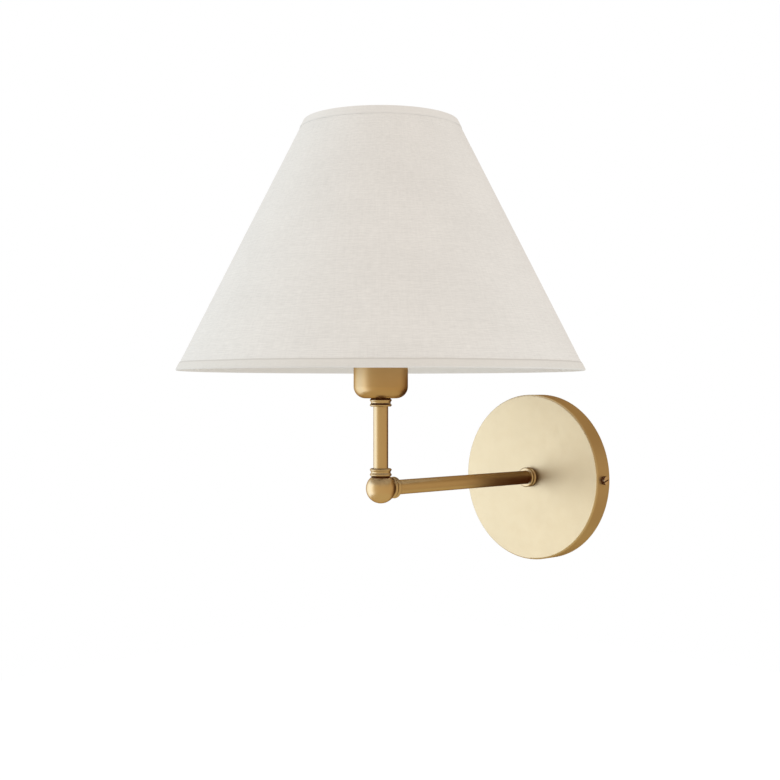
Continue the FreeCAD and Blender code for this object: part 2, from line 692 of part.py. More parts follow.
def contact_notch():
    """Room in the shell's lip for the centre contact's strip."""
    half = CONTACT_WIDTH / 2 + CONTACT
    return Part.makeBox(SHELL_INNER_R, 2 * half, 2 * SHELL_WALL, V(0, -half, INSERT_TOP_Z))


def screw_shell():
    """Sheet-metal screw shell with an inward lip, riveted to the neutral pillar."""
    shell = turned(rounded(
        (SHELL_LIP_R, INSERT_TOP_Z),
        (SHELL_R, INSERT_TOP_Z),
        (SHELL_R, INSERT_TOP_Z + SHELL_LENGTH),
        (SHELL_INNER_R, INSERT_TOP_Z + SHELL_LENGTH),
        (SHELL_INNER_R, INSERT_TOP_Z + SHELL_WALL),
        (SHELL_LIP_R, INSERT_TOP_Z + SHELL_WALL),
    ))
    rivet = Part.makeCylinder(RIVET_R, PILLAR_COVER + SHELL_WALL, V(-PILLAR_PLACE_R, 0, PILLAR_TOP_Z))
    return shell.cut(contact_notch()).fuse(rivet).removeSplitter()


def centre_contact():
    """Spring strip from the live pillar's rivet up to the middle of the lampholder."""
    foot_x = SHELL_INNER_R - CONTACT - SLIP_FIT
    rise_x = PILLAR_PLACE_R - CONTACT_FOOT
    pad_x = TIP_R
    lower = [(foot_x, 0), (rise_x, 0), (pad_x, CONTACT_RISE), (-pad_x, CONTACT_RISE)]
    outline = [V(x, -CONTACT_WIDTH / 2, INSERT_TOP_Z + z) for x, z in lower]
    outline += [point + V(0, 0, CONTACT) for point in reversed(outline)]
    strip = Part.Face(Part.makePolygon(outline + outline[:1])).extrude(V(0, CONTACT_WIDTH, 0))
    rivet = Part.makeCylinder(RIVET_R, PILLAR_COVER + CONTACT, V(PILLAR_PLACE_R, 0, PILLAR_TOP_Z))
    return strip.fuse(rivet).removeSplitter()


def shade_ring():
    """Ribbed ring nut that clamps the shade's fitter ring to the lampholder's flange."""
    bore_r = SKIRT_THREAD_R + THREAD_FIT
    ring = turned(rounded(
        (bore_r, RING_Z),
        (RING_R, RING_Z),
        (RING_R, RING_Z + RING_FLANGE),
        (RING_COLLAR_R, RING_Z + RING_FLANGE),
        (RING_COLLAR_R, RING_Z + RING_HEIGHT),
        (bore_r, RING_Z + RING_HEIGHT),
    ))
    step = 2 * math.pi / RING_RIB_COUNT
    ribs = [Part.makeCylinder(RING_RIB_R, RING_HEIGHT - RING_FLANGE,
                              V(RING_COLLAR_R * math.cos(i * step), RING_COLLAR_R * math.sin(i * step),
                                RING_Z + RING_FLANGE))
            for i in range(RING_RIB_COUNT)]
    return ring.fuse(ribs).removeSplitter()


# Wires

def supply_wire(side):
    """Insulated wire from a terminal barrel through the arm, the elbow and the stem to its pillar."""
    pole_x = side * POLE_PITCH / 2
    axis_x = side * WIRE_SPREAD
    pillar_x = side * PILLAR_PLACE_R
    fan_z = CUP_FLOOR_Z + HOLDER_BOSS + WIRE_R
    land_z = INSERT_BOTTOM_Z - WIRE_R
    points = [
        V(pole_x, wire_y(), BLOCK_TOP_Z - WIRE_STRIP_IN),
        V(pole_x, wire_y(), BLOCK_TOP_Z + WIRE_SLACK),
        V(axis_x, -ENTRY_DEPTH, -ENTRY_RISE),
        V(axis_x, -ENTRY_DEPTH, 0),
        V(axis_x, -REACH, 0),
        V(axis_x, -REACH, fan_z),
        V(pillar_x, -REACH, land_z),
        V(pillar_x, -REACH, WIRE_END_Z),
    ]
    bends = [FAN_BEND_R, FAN_BEND_R, ENTRY_BEND_R, ELBOW_BEND_R, FAN_BEND_R, FAN_BEND_R]
    return bent_rod(points, bends, WIRE_R)


def earth_tags():
    """Ring tags at both ends of the earth wire: under the nipple's nut and under the earth screw."""
    nut_tag = to_wall(ring_tag(NIPPLE_HOLE_R, -NUT_TAG_TURN), NUT_TAG_Y)
    bracket_tag = to_room(ring_tag(EARTH_HOLE_R, EARTH_TAG_TURN), -STRAP).translated(earth_place())
    return Part.makeCompound([nut_tag, bracket_tag])


def tag_direction(turn):
    """Direction in which a wire leaves a ring tag."""
    return V(math.cos(math.radians(turn)), 0, math.sin(math.radians(turn)))


def earth_wire():
    """Earth wire that loops from the nipple's tag to the bracket's tag."""
    rise, fall = tag_direction(NUT_TAG_TURN), tag_direction(EARTH_TAG_TURN)
    neck = TAG_RING + TAG_NECK_LENGTH
    start = V(0, NUT_TAG_Y + CRIMP_R, 0) + rise * (NIPPLE_HOLE_R + neck)
    end = earth_place() + V(0, -STRAP - CRIMP_R, 0) + fall * (EARTH_HOLE_R + neck)
    points = [start, start + rise * EARTH_LOOP, end + fall * EARTH_LOOP, end]
    return bent_rod(points, [EARTH_BEND_R, EARTH_BEND_R], WIRE_R)


# Shade

def slant(z, depth):
    """Profile point at height z, depth inside the shade's outer face."""
    return (SHADE_BOTTOM_R - (z - SHADE_Z) * SHADE_SLOPE - depth * SHADE_LEAN, z)


def shade_panel():
    """Stiffened linen cone with the lapped seam of its sheet at the back."""
    bottom, top = SHADE_Z + PANEL_OUT, SHADE_TOP_Z - PANEL_OUT
    cone = turned(rounded(slant(bottom, PANEL_OUT), slant(top, PANEL_OUT),
                          slant(top, PANEL_IN), slant(bottom, PANEL_IN)))
    low, high = SHADE_Z + HEM_RISE + GLUE, SHADE_TOP_Z - HEM_RISE - GLUE
    lap = turned(rounded(slant(low, 0), slant(high, 0), slant(high, PANEL_OUT), slant(low, PANEL_OUT)))
    lap = lap.common(Part.makeBox(SEAM_WIDTH, SHADE_BOTTOM_R, SHADE_HEIGHT, V(-SEAM_WIDTH / 2, 0, SHADE_Z)))
    panel = cone.fuse(lap).removeSplitter()
    return on_stem(panel.rotated(V(0, 0, 0), V(0, 0, 1), SEAM_TURN), 0)


def hem(edge_z, inward):
    """Tape folded round the panel's edge and its wire; inward is +1 at the bottom edge, -1 at the top."""
    outer_end = edge_z + inward * HEM_RISE
    inner_end = edge_z + inward * HEM_RETURN
    fold = edge_z + inward * HEM
    return on_stem(turned(rounded(
        slant(outer_end, 0),
        (*slant(edge_z, 0), HEM_EDGE_R),
        (*slant(edge_z, HEM_BACK + HEM), HEM_EDGE_R),
        slant(inner_end, HEM_BACK + HEM),
        slant(inner_end, HEM_BACK),
        slant(fold, HEM_BACK),
        slant(fold, HEM),
        slant(outer_end, HEM),
    )), 0)


def rim_wire_place(edge_z, inward):
    """Radius and height of the wire ring that stiffens an edge of the shade."""
    return slant(edge_z + inward * (HEM + GLUE + RIM_WIRE_R), RIM_WIRE_DEPTH)


def rim_wire(edge_z, inward):
    radius, z = rim_wire_place(edge_z, inward)
    return on_stem(Part.makeTorus(radius, RIM_WIRE_R), z)


def fitter_ring():
    """Flat ring that sits on the lampholder's flange."""
    return on_stem(tube(FITTER_R, SKIRT_THREAD_R + FITTER_PLAY, FITTER), FITTER_Z)


def spoke_rods(radius):
    """Bent rods that run out level from the fitter ring and fall to the bottom wire."""
    wire_r, wire_z = rim_wire_place(SHADE_Z, 1)
    level_z = FITTER_Z + FITTER / 2
    path = [
        V(RING_R + 2 * TURN_GAP, 0, level_z),
        V(SPOKE_LEVEL_R, 0, level_z),
        V(wire_r - SPOKE_R / 2, 0, wire_z + SPOKE_R),
    ]
    rod = bent_rod(path, [SPOKE_BEND_R], radius)
    turns = [SPOKE_TURN + i * 360 / SPOKE_COUNT for i in range(SPOKE_COUNT)]
    return [on_stem(rod.rotated(V(0, 0, 0), V(0, 0, 1), turn), 0) for turn in turns]


def shade_spokes():
    """Spokes cut to lie against the fitter ring and the bottom wire, where they are welded."""
    trims = [fitter_ring(), rim_wire(SHADE_Z, 1)]
    return Part.makeCompound([rod.cut(trims) for rod in spoke_rods(SPOKE_R)])


def bottom_hem():
    """Bottom hem, notched inside where the spokes pass to the wire."""
    return hem(SHADE_Z, 1).cut(spoke_rods(SPOKE_R + GLUE))


# Lamp

def lamp_glass():
    """Hollow glass: a spigot inside the cap, a neck that flares into a round bulb."""
    centre_z = TIP_Z + LAMP_LENGTH - LAMP_R
    reach = LAMP_R + LAMP_BLEND_R
    offset = LAMP_NECK_R + LAMP_BLEND_R
    drop = math.sqrt(reach ** 2 - offset ** 2)
    spigot_r = CAP_R - CAP_WALL - THREAD_FIT
    neck_z = CAP_TOP_Z + GLUE
    blend = (offset, centre_z - drop)

    def meet(radius):
        return (radius * offset / reach, centre_z - radius * drop / reach)

    def blend_middle(radius):
        turn = math.atan2(drop, -offset) / 2 + math.pi / 2
        return (blend[0] + radius * math.cos(turn), blend[1] + radius * math.sin(turn))

    def bulb_middle(radius):
        turn = (math.pi / 2 - math.atan2(drop, offset)) / 2
        return (radius * math.cos(turn), centre_z + radius * math.sin(turn))

    inner_r, inner_blend = LAMP_R - GLASS, LAMP_BLEND_R + GLASS
    return on_stem(turned(chain(
        (spigot_r - GLASS, CAP_TOP_Z - LAMP_SPIGOT),
        (spigot_r, CAP_TOP_Z - LAMP_SPIGOT),
        (spigot_r, neck_z),
        (LAMP_NECK_R, neck_z),
        (LAMP_NECK_R, blend[1]),
        (blend_middle(LAMP_BLEND_R), meet(LAMP_R)),
        (bulb_middle(LAMP_R), (0, centre_z + LAMP_R)),
        (0, centre_z + inner_r),
        (bulb_middle(inner_r), meet(inner_r)),
        (blend_middle(inner_blend), (LAMP_NECK_R - GLASS, blend[1])),
        (spigot_r - GLASS, neck_z),
    )), 0)


def lamp_cap():
    """Screw cap of thin sheet, tapered to the insulator below and flared to the glass above."""
    insulator_z = TIP_Z + TIP + INSULATOR
    return on_stem(turned(rounded(
        (CAP_TAPER_R, insulator_z),
        (CAP_R, insulator_z + CAP_TAPER),
        (CAP_R, CAP_TOP_Z - CAP_FLARE),
        (CAP_FLARE_R, CAP_TOP_Z),
        (CAP_FLARE_R - CAP_WALL, CAP_TOP_Z),
        (CAP_R - CAP_WALL, CAP_TOP_Z - CAP_FLARE),
        (CAP_R - CAP_WALL, insulator_z + CAP_TAPER),
        (CAP_TAPER_R - CAP_WALL, insulator_z),
    )), 0)


def cap_insulator():
    """Glass button that closes the cap just above the tip contact."""
    bottom_z = TIP_Z + TIP + FACE_GAP
    top_z = TIP_Z + TIP + INSULATOR
    inner_r = CAP_TAPER_R - CAP_WALL - THREAD_FIT
    return on_stem(turned(rounded(
        (0, bottom_z),
        (TIP_R, bottom_z),
        (CAP_TAPER_R, top_z),
        (inner_r, top_z),
        (inner_r, top_z + CAP_TAPER),
        (0, top_z + CAP_TAPER),
    )), 0)


def tip_contact():
    """Soldered tip: a shallow dome."""
    dome_r = (TIP_R ** 2 + TIP ** 2) / (2 * TIP)
    half = math.asin(TIP_R / dome_r) / 2
    through = (dome_r * math.sin(half), TIP_Z + dome_r * (1 - math.cos(half)))
    return on_stem(turned(chain(
        (0, TIP_Z + TIP),
        (0, TIP_Z),
        (through, (TIP_R, TIP_Z + TIP)),
    )), 0)


def parts():
    """Every piece under its own name."""
    wall_nipple_start = ARM_TUBE_END_Y - NIPPLE_GRIP
    wall_nipple_end = NUT_Y + NUT + NIPPLE_END
    ball_nipple = STEM_TUBE_START_Z + NIPPLE_GRIP - NIPPLE_STOP
    cup_nipple_start = STEM_TUBE_END_Z - NIPPLE_GRIP
    cup_nipple_end = CUP_FLOOR_Z + HOLDER_BOSS - WIRE_R
    stem_tube = tube(TUBE_R, TUBE_R - TUBE_WALL, STEM_TUBE_END_Z - STEM_TUBE_START_Z)
    arm_tube = tube(TUBE_R, TUBE_R - TUBE_WALL, ARM_TUBE_END_Y - ARM_TUBE_START_Y)
    upside_down = collar().rotated(V(0, 0, 0), V(1, 0, 0), 180)
    return {
        "wall_bracket": wall_bracket(),
        "earth_screw": earth_screw(),
        "earth_tags": earth_tags(),
        "terminal_block": terminal_block(),
        "terminal_barrels": terminal_barrels(),
        "clamp_screws": clamp_screws(),
        "block_screw": block_screw(),
        "backplate": backplate(),
        "set_screw_right": set_screw(1),
        "set_screw_left": set_screw(-1),
        "wall_nipple": to_wall(nipple(wall_nipple_end - wall_nipple_start), wall_nipple_start),
        "lock_washer": to_wall(lock_washer(), PLATE_INNER_Y),
        "nipple_nut": to_wall(hex_nut(), NUT_Y),
        "wall_collar": to_room(collar(), -PLATE_DEPTH),
        "arm_tube": to_wall(arm_tube, ARM_TUBE_START_Y),
        "arm_collar": to_wall(collar(), ARM_COLLAR_Y),
        "arm_nipple": to_wall(nipple(ball_nipple), -REACH + NIPPLE_STOP),
        "elbow_ball": elbow_ball(),
        "stem_collar_lower": on_stem(collar(), BALL_FLAT),
        "stem_nipple_lower": on_stem(nipple(ball_nipple), NIPPLE_STOP),
        "stem_tube": on_stem(stem_tube, STEM_TUBE_START_Z),
        "stem_collar_upper": on_stem(upside_down, CUP_Z),
        "stem_nipple_upper": on_stem(nipple(cup_nipple_end - cup_nipple_start), cup_nipple_start),
        "socket_cup": on_stem(socket_cup(), 0),
        "lampholder_cap": on_stem(lampholder_cap(), 0),
        "lampholder_insert": on_stem(lampholder_insert(), 0),
        "lampholder_skirt": on_stem(lampholder_skirt(), 0),
        "holder_pillars": on_stem(holder_pillars(), 0),
        "holder_screws": on_stem(holder_screws(), 0),
        "screw_shell": on_stem(screw_shell(), 0),
        "centre_contact": on_stem(centre_contact(), 0),
        "live_wire": supply_wire(1),
        "neutral_wire": supply_wire(-1),
        "earth_wire": earth_wire(),
        "shade_panel": shade_panel(),
        "bottom_hem": bottom_hem(),
        "top_hem": hem(SHADE_TOP_Z, -1),
        "bottom_rim_wire": rim_wire(SHADE_Z, 1),
        "top_rim_wire": rim_wire(SHADE_TOP_Z, -1),
        "fitter_ring": fitter_ring(),
        "shade_spokes": shade_spokes(),
        "shade_ring": on_stem(shade_ring(), 0),
        "lamp_glass": lamp_glass(),
        "lamp_cap": lamp_cap(),
        "cap_insulator": cap_insulator(),
        "tip_contact": tip_contact(),
    }


os.makedirs("parts", exist_ok=True)
for node, shape in parts().items():
    shape.exportStep(f"parts/{node}.step")
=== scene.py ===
import logging
import math
from dataclasses import dataclass
from enum import Enum
from typing import Callable, Optional, Sequence, Union

import bmesh
import bpy
import numpy as np
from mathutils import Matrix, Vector


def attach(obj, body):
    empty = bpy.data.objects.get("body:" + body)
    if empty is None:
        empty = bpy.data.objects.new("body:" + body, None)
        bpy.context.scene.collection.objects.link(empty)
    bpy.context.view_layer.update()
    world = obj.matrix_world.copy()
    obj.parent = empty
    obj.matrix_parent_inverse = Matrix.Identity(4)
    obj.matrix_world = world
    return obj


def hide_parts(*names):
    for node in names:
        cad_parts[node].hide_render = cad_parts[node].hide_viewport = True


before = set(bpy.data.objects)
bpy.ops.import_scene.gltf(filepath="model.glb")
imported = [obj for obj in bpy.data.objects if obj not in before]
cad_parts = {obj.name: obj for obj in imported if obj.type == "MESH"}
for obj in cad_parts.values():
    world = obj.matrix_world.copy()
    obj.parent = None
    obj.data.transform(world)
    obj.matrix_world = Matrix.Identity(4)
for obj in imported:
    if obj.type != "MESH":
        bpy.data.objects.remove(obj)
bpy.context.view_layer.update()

# Wall sconce: brass backplate, arm, ball elbow and cup, linen shade, lampholder and lamp.
# Pieces are sized in millimetres; meshes, materials and the studio are in metres.

MM = 0.001
FULL_TURN = 2 * math.pi
STEM_AXIS = (0.0, -175.0, 0.0)
SEAM_TURN = 135.0
LAMP_THREAD_LEAD = 25.4 / 7
SAME_POINT_METRES = 1e-6
THIN_FACE_METRES = 1e-7
NOISE_SPAN = (0.3, 0.7)
WHITE = (1.0, 1.0, 1.0)
CHART = "chart"

Colour = tuple[float, float, float]
Place = tuple[float, float, float]
Span = tuple[float, float]
Array = np.ndarray
Pair = tuple[Array, Array]
Relief = Callable[[Array, Array, Array], Pair]
Socket = bpy.types.NodeSocket
Value = Union[float, Colour, Socket]
Inputs = dict[Union[int, str], Value]

log = logging.getLogger("wall_sconce")


class Facing(Enum):
    """Which way the axis of a turned piece points, as the rows of its turn."""

    UP = ((1, 0, 0), (0, 1, 0), (0, 0, 1))
    DOWN = ((1, 0, 0), (0, -1, 0), (0, 0, -1))
    TO_ROOM = ((1, 0, 0), (0, 0, -1), (0, 1, 0))
    TO_WALL = ((1, 0, 0), (0, 0, 1), (0, -1, 0))
    RIGHT = ((0, 0, 1), (1, 0, 0), (0, 1, 0))
    LEFT = ((0, 0, -1), (-1, 0, 0), (0, 1, 0))


class Grain(Enum):
    """How the tool marks run on a brass piece."""

    ROUND_STEM = "rings round the stem"
    ROUND_ARM = "rings round the arm"
    ALONG_ARM = "drawn along the arm"
    ALONG_STEM = "drawn along the stem"
    ALL_WAYS = "tumbled"


# Surfaces


@dataclass
class Surface:
    """Points of a surface, its four-cornered faces and, if it has one, a chart per face corner."""

    points: Array
    faces: Array
    chart: Optional[Array] = None

    def placed(self, facing: Facing, place: Sequence[float]) -> "Surface":
        """Turns the surface's axis to a facing and moves its origin to a place.

        Args:
            facing: The way the axis points.
            place: Where the origin goes.

        Returns:
            The surface in the lamp's own place.
        """
        points = self.points @ np.array(facing.value, float).T + np.array(place, float)
        return Surface(points, self.faces, self.chart)

    def on_stem(self) -> "Surface":
        """The surface with its axis upright in the stem's."""
        return self.placed(Facing.UP, STEM_AXIS)


def grid_surface(points: Array, chart: Optional[Array] = None, ring: bool = False) -> Surface:
    """Joins each point of a grid with its neighbours in the next row and column.

    Args:
        points: The points by row and column.
        chart: The chart at each point, in metres.
        ring: Whether the last column joins the first.

    Returns:
        The surface through the points.
    """
    rows, columns = points.shape[:2]
    column = np.arange(columns if ring else columns - 1)
    row, column = np.meshgrid(np.arange(rows - 1), column, indexing="ij")
    here, below, beside = row * columns, (row + 1) * columns, (column + 1) % columns
    corners = (here + column, here + beside, below + beside, below + column)
    faces = np.stack(corners, axis=-1).reshape(-1, 4)
    return Surface(points.reshape(-1, 3), faces,
                   None if chart is None else chart.reshape(-1, 2)[faces])


def smooth_step(low: float, high: float, value: Array) -> Array:
    """0 up to low, 1 from high on, and the cubic 3t^2 - 2t^3 between them.

    Args:
        low: Where the rise starts.
        high: Where the rise ends.
        value: Where it is wanted.

    Returns:
        The height of the step at each value.
    """
    share = np.clip((value - low) / (high - low), 0.0, 1.0)
    return share * share * (3.0 - 2.0 * share)


def plateau(start: float, run_in: Span, end: float, run_out: Span, value: Array) -> Array:
    """1 between a start and an end and 0 beyond them, with a smooth step at each.

    Args:
        start: Where it starts.
        run_in: Where its rise starts and ends, counted from the start.
        end: Where it ends.
        run_out: Where its fall starts and ends, counted from the end.
        value: Where it is wanted.

    Returns:
        The height of the plateau at each value.
    """
    rise = smooth_step(start + run_in[0], start + run_in[1], value)
    return rise * (1.0 - smooth_step(end + run_out[0], end + run_out[1], value))


def unit(vector: Array) -> Array:
    """The vectors along the last axis, each divided by its length."""
    return vector / np.linalg.norm(vector, axis=-1, keepdims=True)


def fillet(before: Array, corner: Array, after: Array, radius: float, steps: int) -> Array:
    """Points of the arc that rounds a corner.

    The arc's centre lies on the corner's bisector at radius / cos(half the turn), and the arc
    leaves each side at radius * tan(half the turn) from the corner.

    Args:
        before: The outline's point before the corner.
        corner: The corner.
        after: The outline's point after the corner.
        radius: The arc's radius.
        steps: Number of chords.

    Returns:
        The arc's points in order.
    """
    back, ahead = unit(before - corner), unit(after - corner)
    half = (math.pi - math.acos(float(np.clip(back @ ahead, -1.0, 1.0)))) / 2
    centre = corner + unit(back + ahead) * radius / math.cos(half)
    first = corner + back * radius * math.tan(half) - centre
    last = corner + ahead * radius * math.tan(half) - centre
    start = math.atan2(first[1], first[0])
    sweep = (math.atan2(last[1], last[0]) - start + math.pi) % FULL_TURN - math.pi
    turn = start + sweep * np.linspace(0.0, 1.0, steps + 1)
    return centre + radius * np.stack([np.cos(turn), np.sin(turn)], axis=-1)


def rounded_outline(*corners: tuple[float, ...], steps: int = 8) -> Array:
    """Closed outline through (radius, height) corners, where a third number rounds its corner.

    Args:
        corners: The corners in order.
        steps: Number of chords in each rounding.

    Returns:
        The outline's points.
    """
    points = np.array([corner[:2] for corner in corners], float)
    runs = []
    for i, corner in enumerate(corners):
        if len(corner) == 3:
            after = points[(i + 1) % len(points)]
            runs.append(fillet(points[i - 1], points[i], after, corner[2], steps))
        else:
            runs.append(points[i:i + 1])
    return np.vstack(runs)


def subdivided(outline: Array, longest: float) -> Array:
    """Divides the sides of a closed outline evenly until none is longer than a given length.

    Args:
        outline: The outline's points.
        longest: The longest side that is left.

    Returns:
        The denser outline.
    """
    side = np.roll(outline, -1, axis=0) - outline
    count = np.maximum(np.ceil(np.linalg.norm(side, axis=1) / longest).astype(int), 1)
    owner = np.repeat(np.arange(len(outline)), count)
    share = (np.arange(count.sum()) - np.repeat(np.cumsum(count) - count, count)) / count[owner]
    return outline[owner] + side[owner] * share[:, None]


def turned(outline: Array, segments: int = 96, closed: bool = True,
           relief: Optional[Relief] = None) -> Surface:
    """Turns an outline about the upright axis.

    The point at outline place i and angle a is (r cos a, r sin a, z), where r and z are the
    outline's radius and height there, changed by the relief. The chart is the angle times the
    outline's widest radius, and the length along the outline, in metres.

    Args:
        outline: (radius, height) points.
        segments: Number of faces round the axis.
        closed: Whether the outline's end joins its start.
        relief: Changes radius and height at an angle.

    Returns:
        The turned surface.
    """
    angle = np.linspace(0.0, FULL_TURN, segments + 1)[None, :]
    run = np.vstack([outline, outline[:1]]) if closed else outline
    spread = np.zeros_like(angle)
    radius, height = run[:, :1] + spread, run[:, 1:] + spread
    if relief is not None:
        radius, height = relief(angle + 0.0 * radius, radius, height)
    points = np.stack([radius * np.cos(angle), radius * np.sin(angle), height], axis=-1)
    step = np.linalg.norm(np.diff(run, axis=0, prepend=run[:1]), axis=1)
    chart = np.stack([angle * run[:, 0].max() + 0.0 * radius,
                      np.cumsum(step)[:, None] + 0.0 * radius], axis=-1)
    return grid_surface(points, chart * MM)


def helix_wave(angle: Array, height: Array, lead: float) -> Array:
    """Round right-hand thread: the cosine of height / lead - angle / full turn, as 0 to 1.

    Args:
        angle: Angle about the axis.
        height: Height along the axis.
        lead: Rise in one turn.

    Returns:
        0 in a root and 1 on a crest of the thread.
    """
    return 0.5 + 0.5 * np.cos(FULL_TURN * height / lead - angle)


def swept(path: Array, radius: float, upward: Place, segments: int = 20) -> Surface:
    """Carries a circle along a path, closed at both ends.

    At each path point the circle stands square to the path's direction t, in the frame
    (t x up, t x up x t). The end rows shrink to the path. The chart is the share of a turn and the
    length along the path in metres.

    Args:
        path: The path's points.
        radius: The circle's radius.
        upward: A direction that the path never takes.
        segments: Number of faces round the path.

    Returns:
        The swept surface.
    """
    along = unit(np.gradient(path, axis=0))
    side = unit(np.cross(along, np.array(upward, float)))
    across = np.cross(side, along)
    turn = np.linspace(0.0, FULL_TURN, segments + 1)[None, :, None]
    ring = side[:, None] * np.cos(turn) + across[:, None] * np.sin(turn)
    order = np.concatenate([[0], np.arange(len(path)), [len(path) - 1]])
    size = np.full(len(order), radius)
    size[[0, -1]] = 0.0
    points = path[order][:, None] + ring[order] * size[:, None, None]
    steps = np.linalg.norm(np.diff(path, axis=0), axis=1)
    length = np.concatenate([[0.0], np.cumsum(steps)])[order][:, None] * MM
    share = turn[..., 0] / FULL_TURN
    return grid_surface(points, np.stack([share + 0.0 * length, length + 0.0 * share], axis=-1))


def drawn_curve(controls: Array, count: int) -> Array:
    """Smooth curve from the first control point to the last, drawn towards those between.

    At the share t, control point k of 0 to n weighs choose(n, k) * t^k * (1 - t)^(n - k).

    Args:
        controls: Control points in order.
        count: Number of curve points.

    Returns:
        Points of the curve.
    """
    degree = len(controls) - 1
    share = np.linspace(0.0, 1.0, count)[:, None]
    power = np.arange(degree + 1)[None, :]
    choose = np.array([math.comb(degree, k) for k in range(degree + 1)], float)
    return (choose * share ** power * (1.0 - share) ** (degree - power)) @ controls


def make_mesh(name: str, surface: Surface, sharp_degrees: float) -> bpy.types.Mesh:
    """Puts a surface into a mesh, joins its seams and poles and turns its faces outwards.

    Args:
        name: The mesh's name.
        surface: The surface, in millimetres.
        sharp_degrees: Edges that turn by more stay sharp.

    Returns:
        The mesh, in metres.
    """
    mesh = bpy.data.meshes.new(name)
    mesh.vertices.add(len(surface.points))
    mesh.vertices.foreach_set("co", (surface.points * MM).astype(np.float32).ravel())
    mesh.loops.add(surface.faces.size)
    mesh.loops.foreach_set("vertex_index", surface.faces.astype(np.int32).ravel())
    mesh.polygons.add(len(surface.faces))
    mesh.polygons.foreach_set("loop_start", np.arange(0, surface.faces.size, 4, dtype=np.int32))
    mesh.update(calc_edges=True)
    if surface.chart is not None:
        chart = mesh.uv_layers.new(name=CHART)
        chart.data.foreach_set("uv", surface.chart.astype(np.float32).ravel())
    shell = bmesh.new()
    shell.from_mesh(mesh)
    bmesh.ops.remove_doubles(shell, verts=shell.verts, dist=SAME_POINT_METRES)
    bmesh.ops.dissolve_degenerate(shell, edges=shell.edges, dist=THIN_FACE_METRES)
    if shell.calc_volume(signed=True) < 0:
        bmesh.ops.reverse_faces(shell, faces=shell.faces)
    shell.to_mesh(mesh)
    shell.free()
    mesh.shade_smooth()
    mesh.set_sharp_from_angle(angle=math.radians(sharp_degrees))
    return mesh


# Finishes


class Nodes:
    """A node tree of a material or a world, put together from a few plain steps."""

    def __init__(self, owner: Union[bpy.types.Material, bpy.types.World]) -> None:
        """Starts the owner's tree bare.

        Args:
            owner: The material or world.
        """
        owner.use_nodes = True
        self.tree = owner.node_tree
        self.tree.nodes.clear()

    def add(self, kind: str, inputs: Optional[Inputs] = None, **settings: object) -> bpy.types.Node:
        """Adds a node, sets its settings and feeds its sockets.

        Args:
            kind: The kind of node.
            inputs: Values and sockets to feed, by the name or number of the node's own socket.
            settings: The node's settings.

        Returns:
            The node.
        """
        node = self.tree.nodes.new(kind)
        for key, value in settings.items():
            setattr(node, key, value)
        for key, value in (inputs or {}).items():
            self.feed(node.inputs[key], value)
        return node

    def feed(self, socket: Socket, value: Value) -> None:
        """Links a socket to another, or sets its own value; a colour gets an alpha of 1.

        Args:
            socket: The socket to feed.
            value: Another socket, or a number or colour.
        """
        if isinstance(value, Socket):
            self.tree.links.new(value, socket)
        elif socket.type == "RGBA":
            socket.default_value = (*value, 1.0)
        else:
            socket.default_value = value

    def math(self, operation: str, first: Value, second: Value = 0.0) -> Socket:
        """One step of arithmetic."""
        return self.add("ShaderNodeMath", {0: first, 1: second}, operation=operation).outputs[0]

    def total(self, *terms: tuple[Socket, float]) -> Socket:
        """Adds up sockets, each times its weight.

        Args:
            terms: The sockets and their weights.

        Returns:
            The socket of the sum.
        """
        total = self.math("MULTIPLY", *terms[0])
        for socket, weight in terms[1:]:
            total = self.math("ADD", total, self.math("MULTIPLY", socket, weight))
        return total

    def fit(self, value: Socket, low: float, high: float, to_low: float, to_high: float) -> Socket:
        """Maps low..high to to_low..to_high and holds the ends."""
        inputs = dict(enumerate((value, low, high, to_low, to_high)))
        return self.add("ShaderNodeMapRange", inputs).outputs[0]

    def mix(self, share: Value, first: Value, second: Value, blend: str = "MIX") -> Socket:
        """Mixes two colours by a share, in the way that a blend names."""
        inputs = {0: share, 6: first, 7: second}
        return self.add("ShaderNodeMix", inputs, data_type="RGBA", blend_type=blend).outputs[2]

    def split(self, place: Socket) -> list[Socket]:
        """The three parts of a place."""
        return list(self.add("ShaderNodeSeparateXYZ", {0: place}).outputs)

    def chart(self) -> Socket:
        """The place on the piece's own chart."""
        return self.add("ShaderNodeUVMap", uv_map=CHART).outputs["UV"]


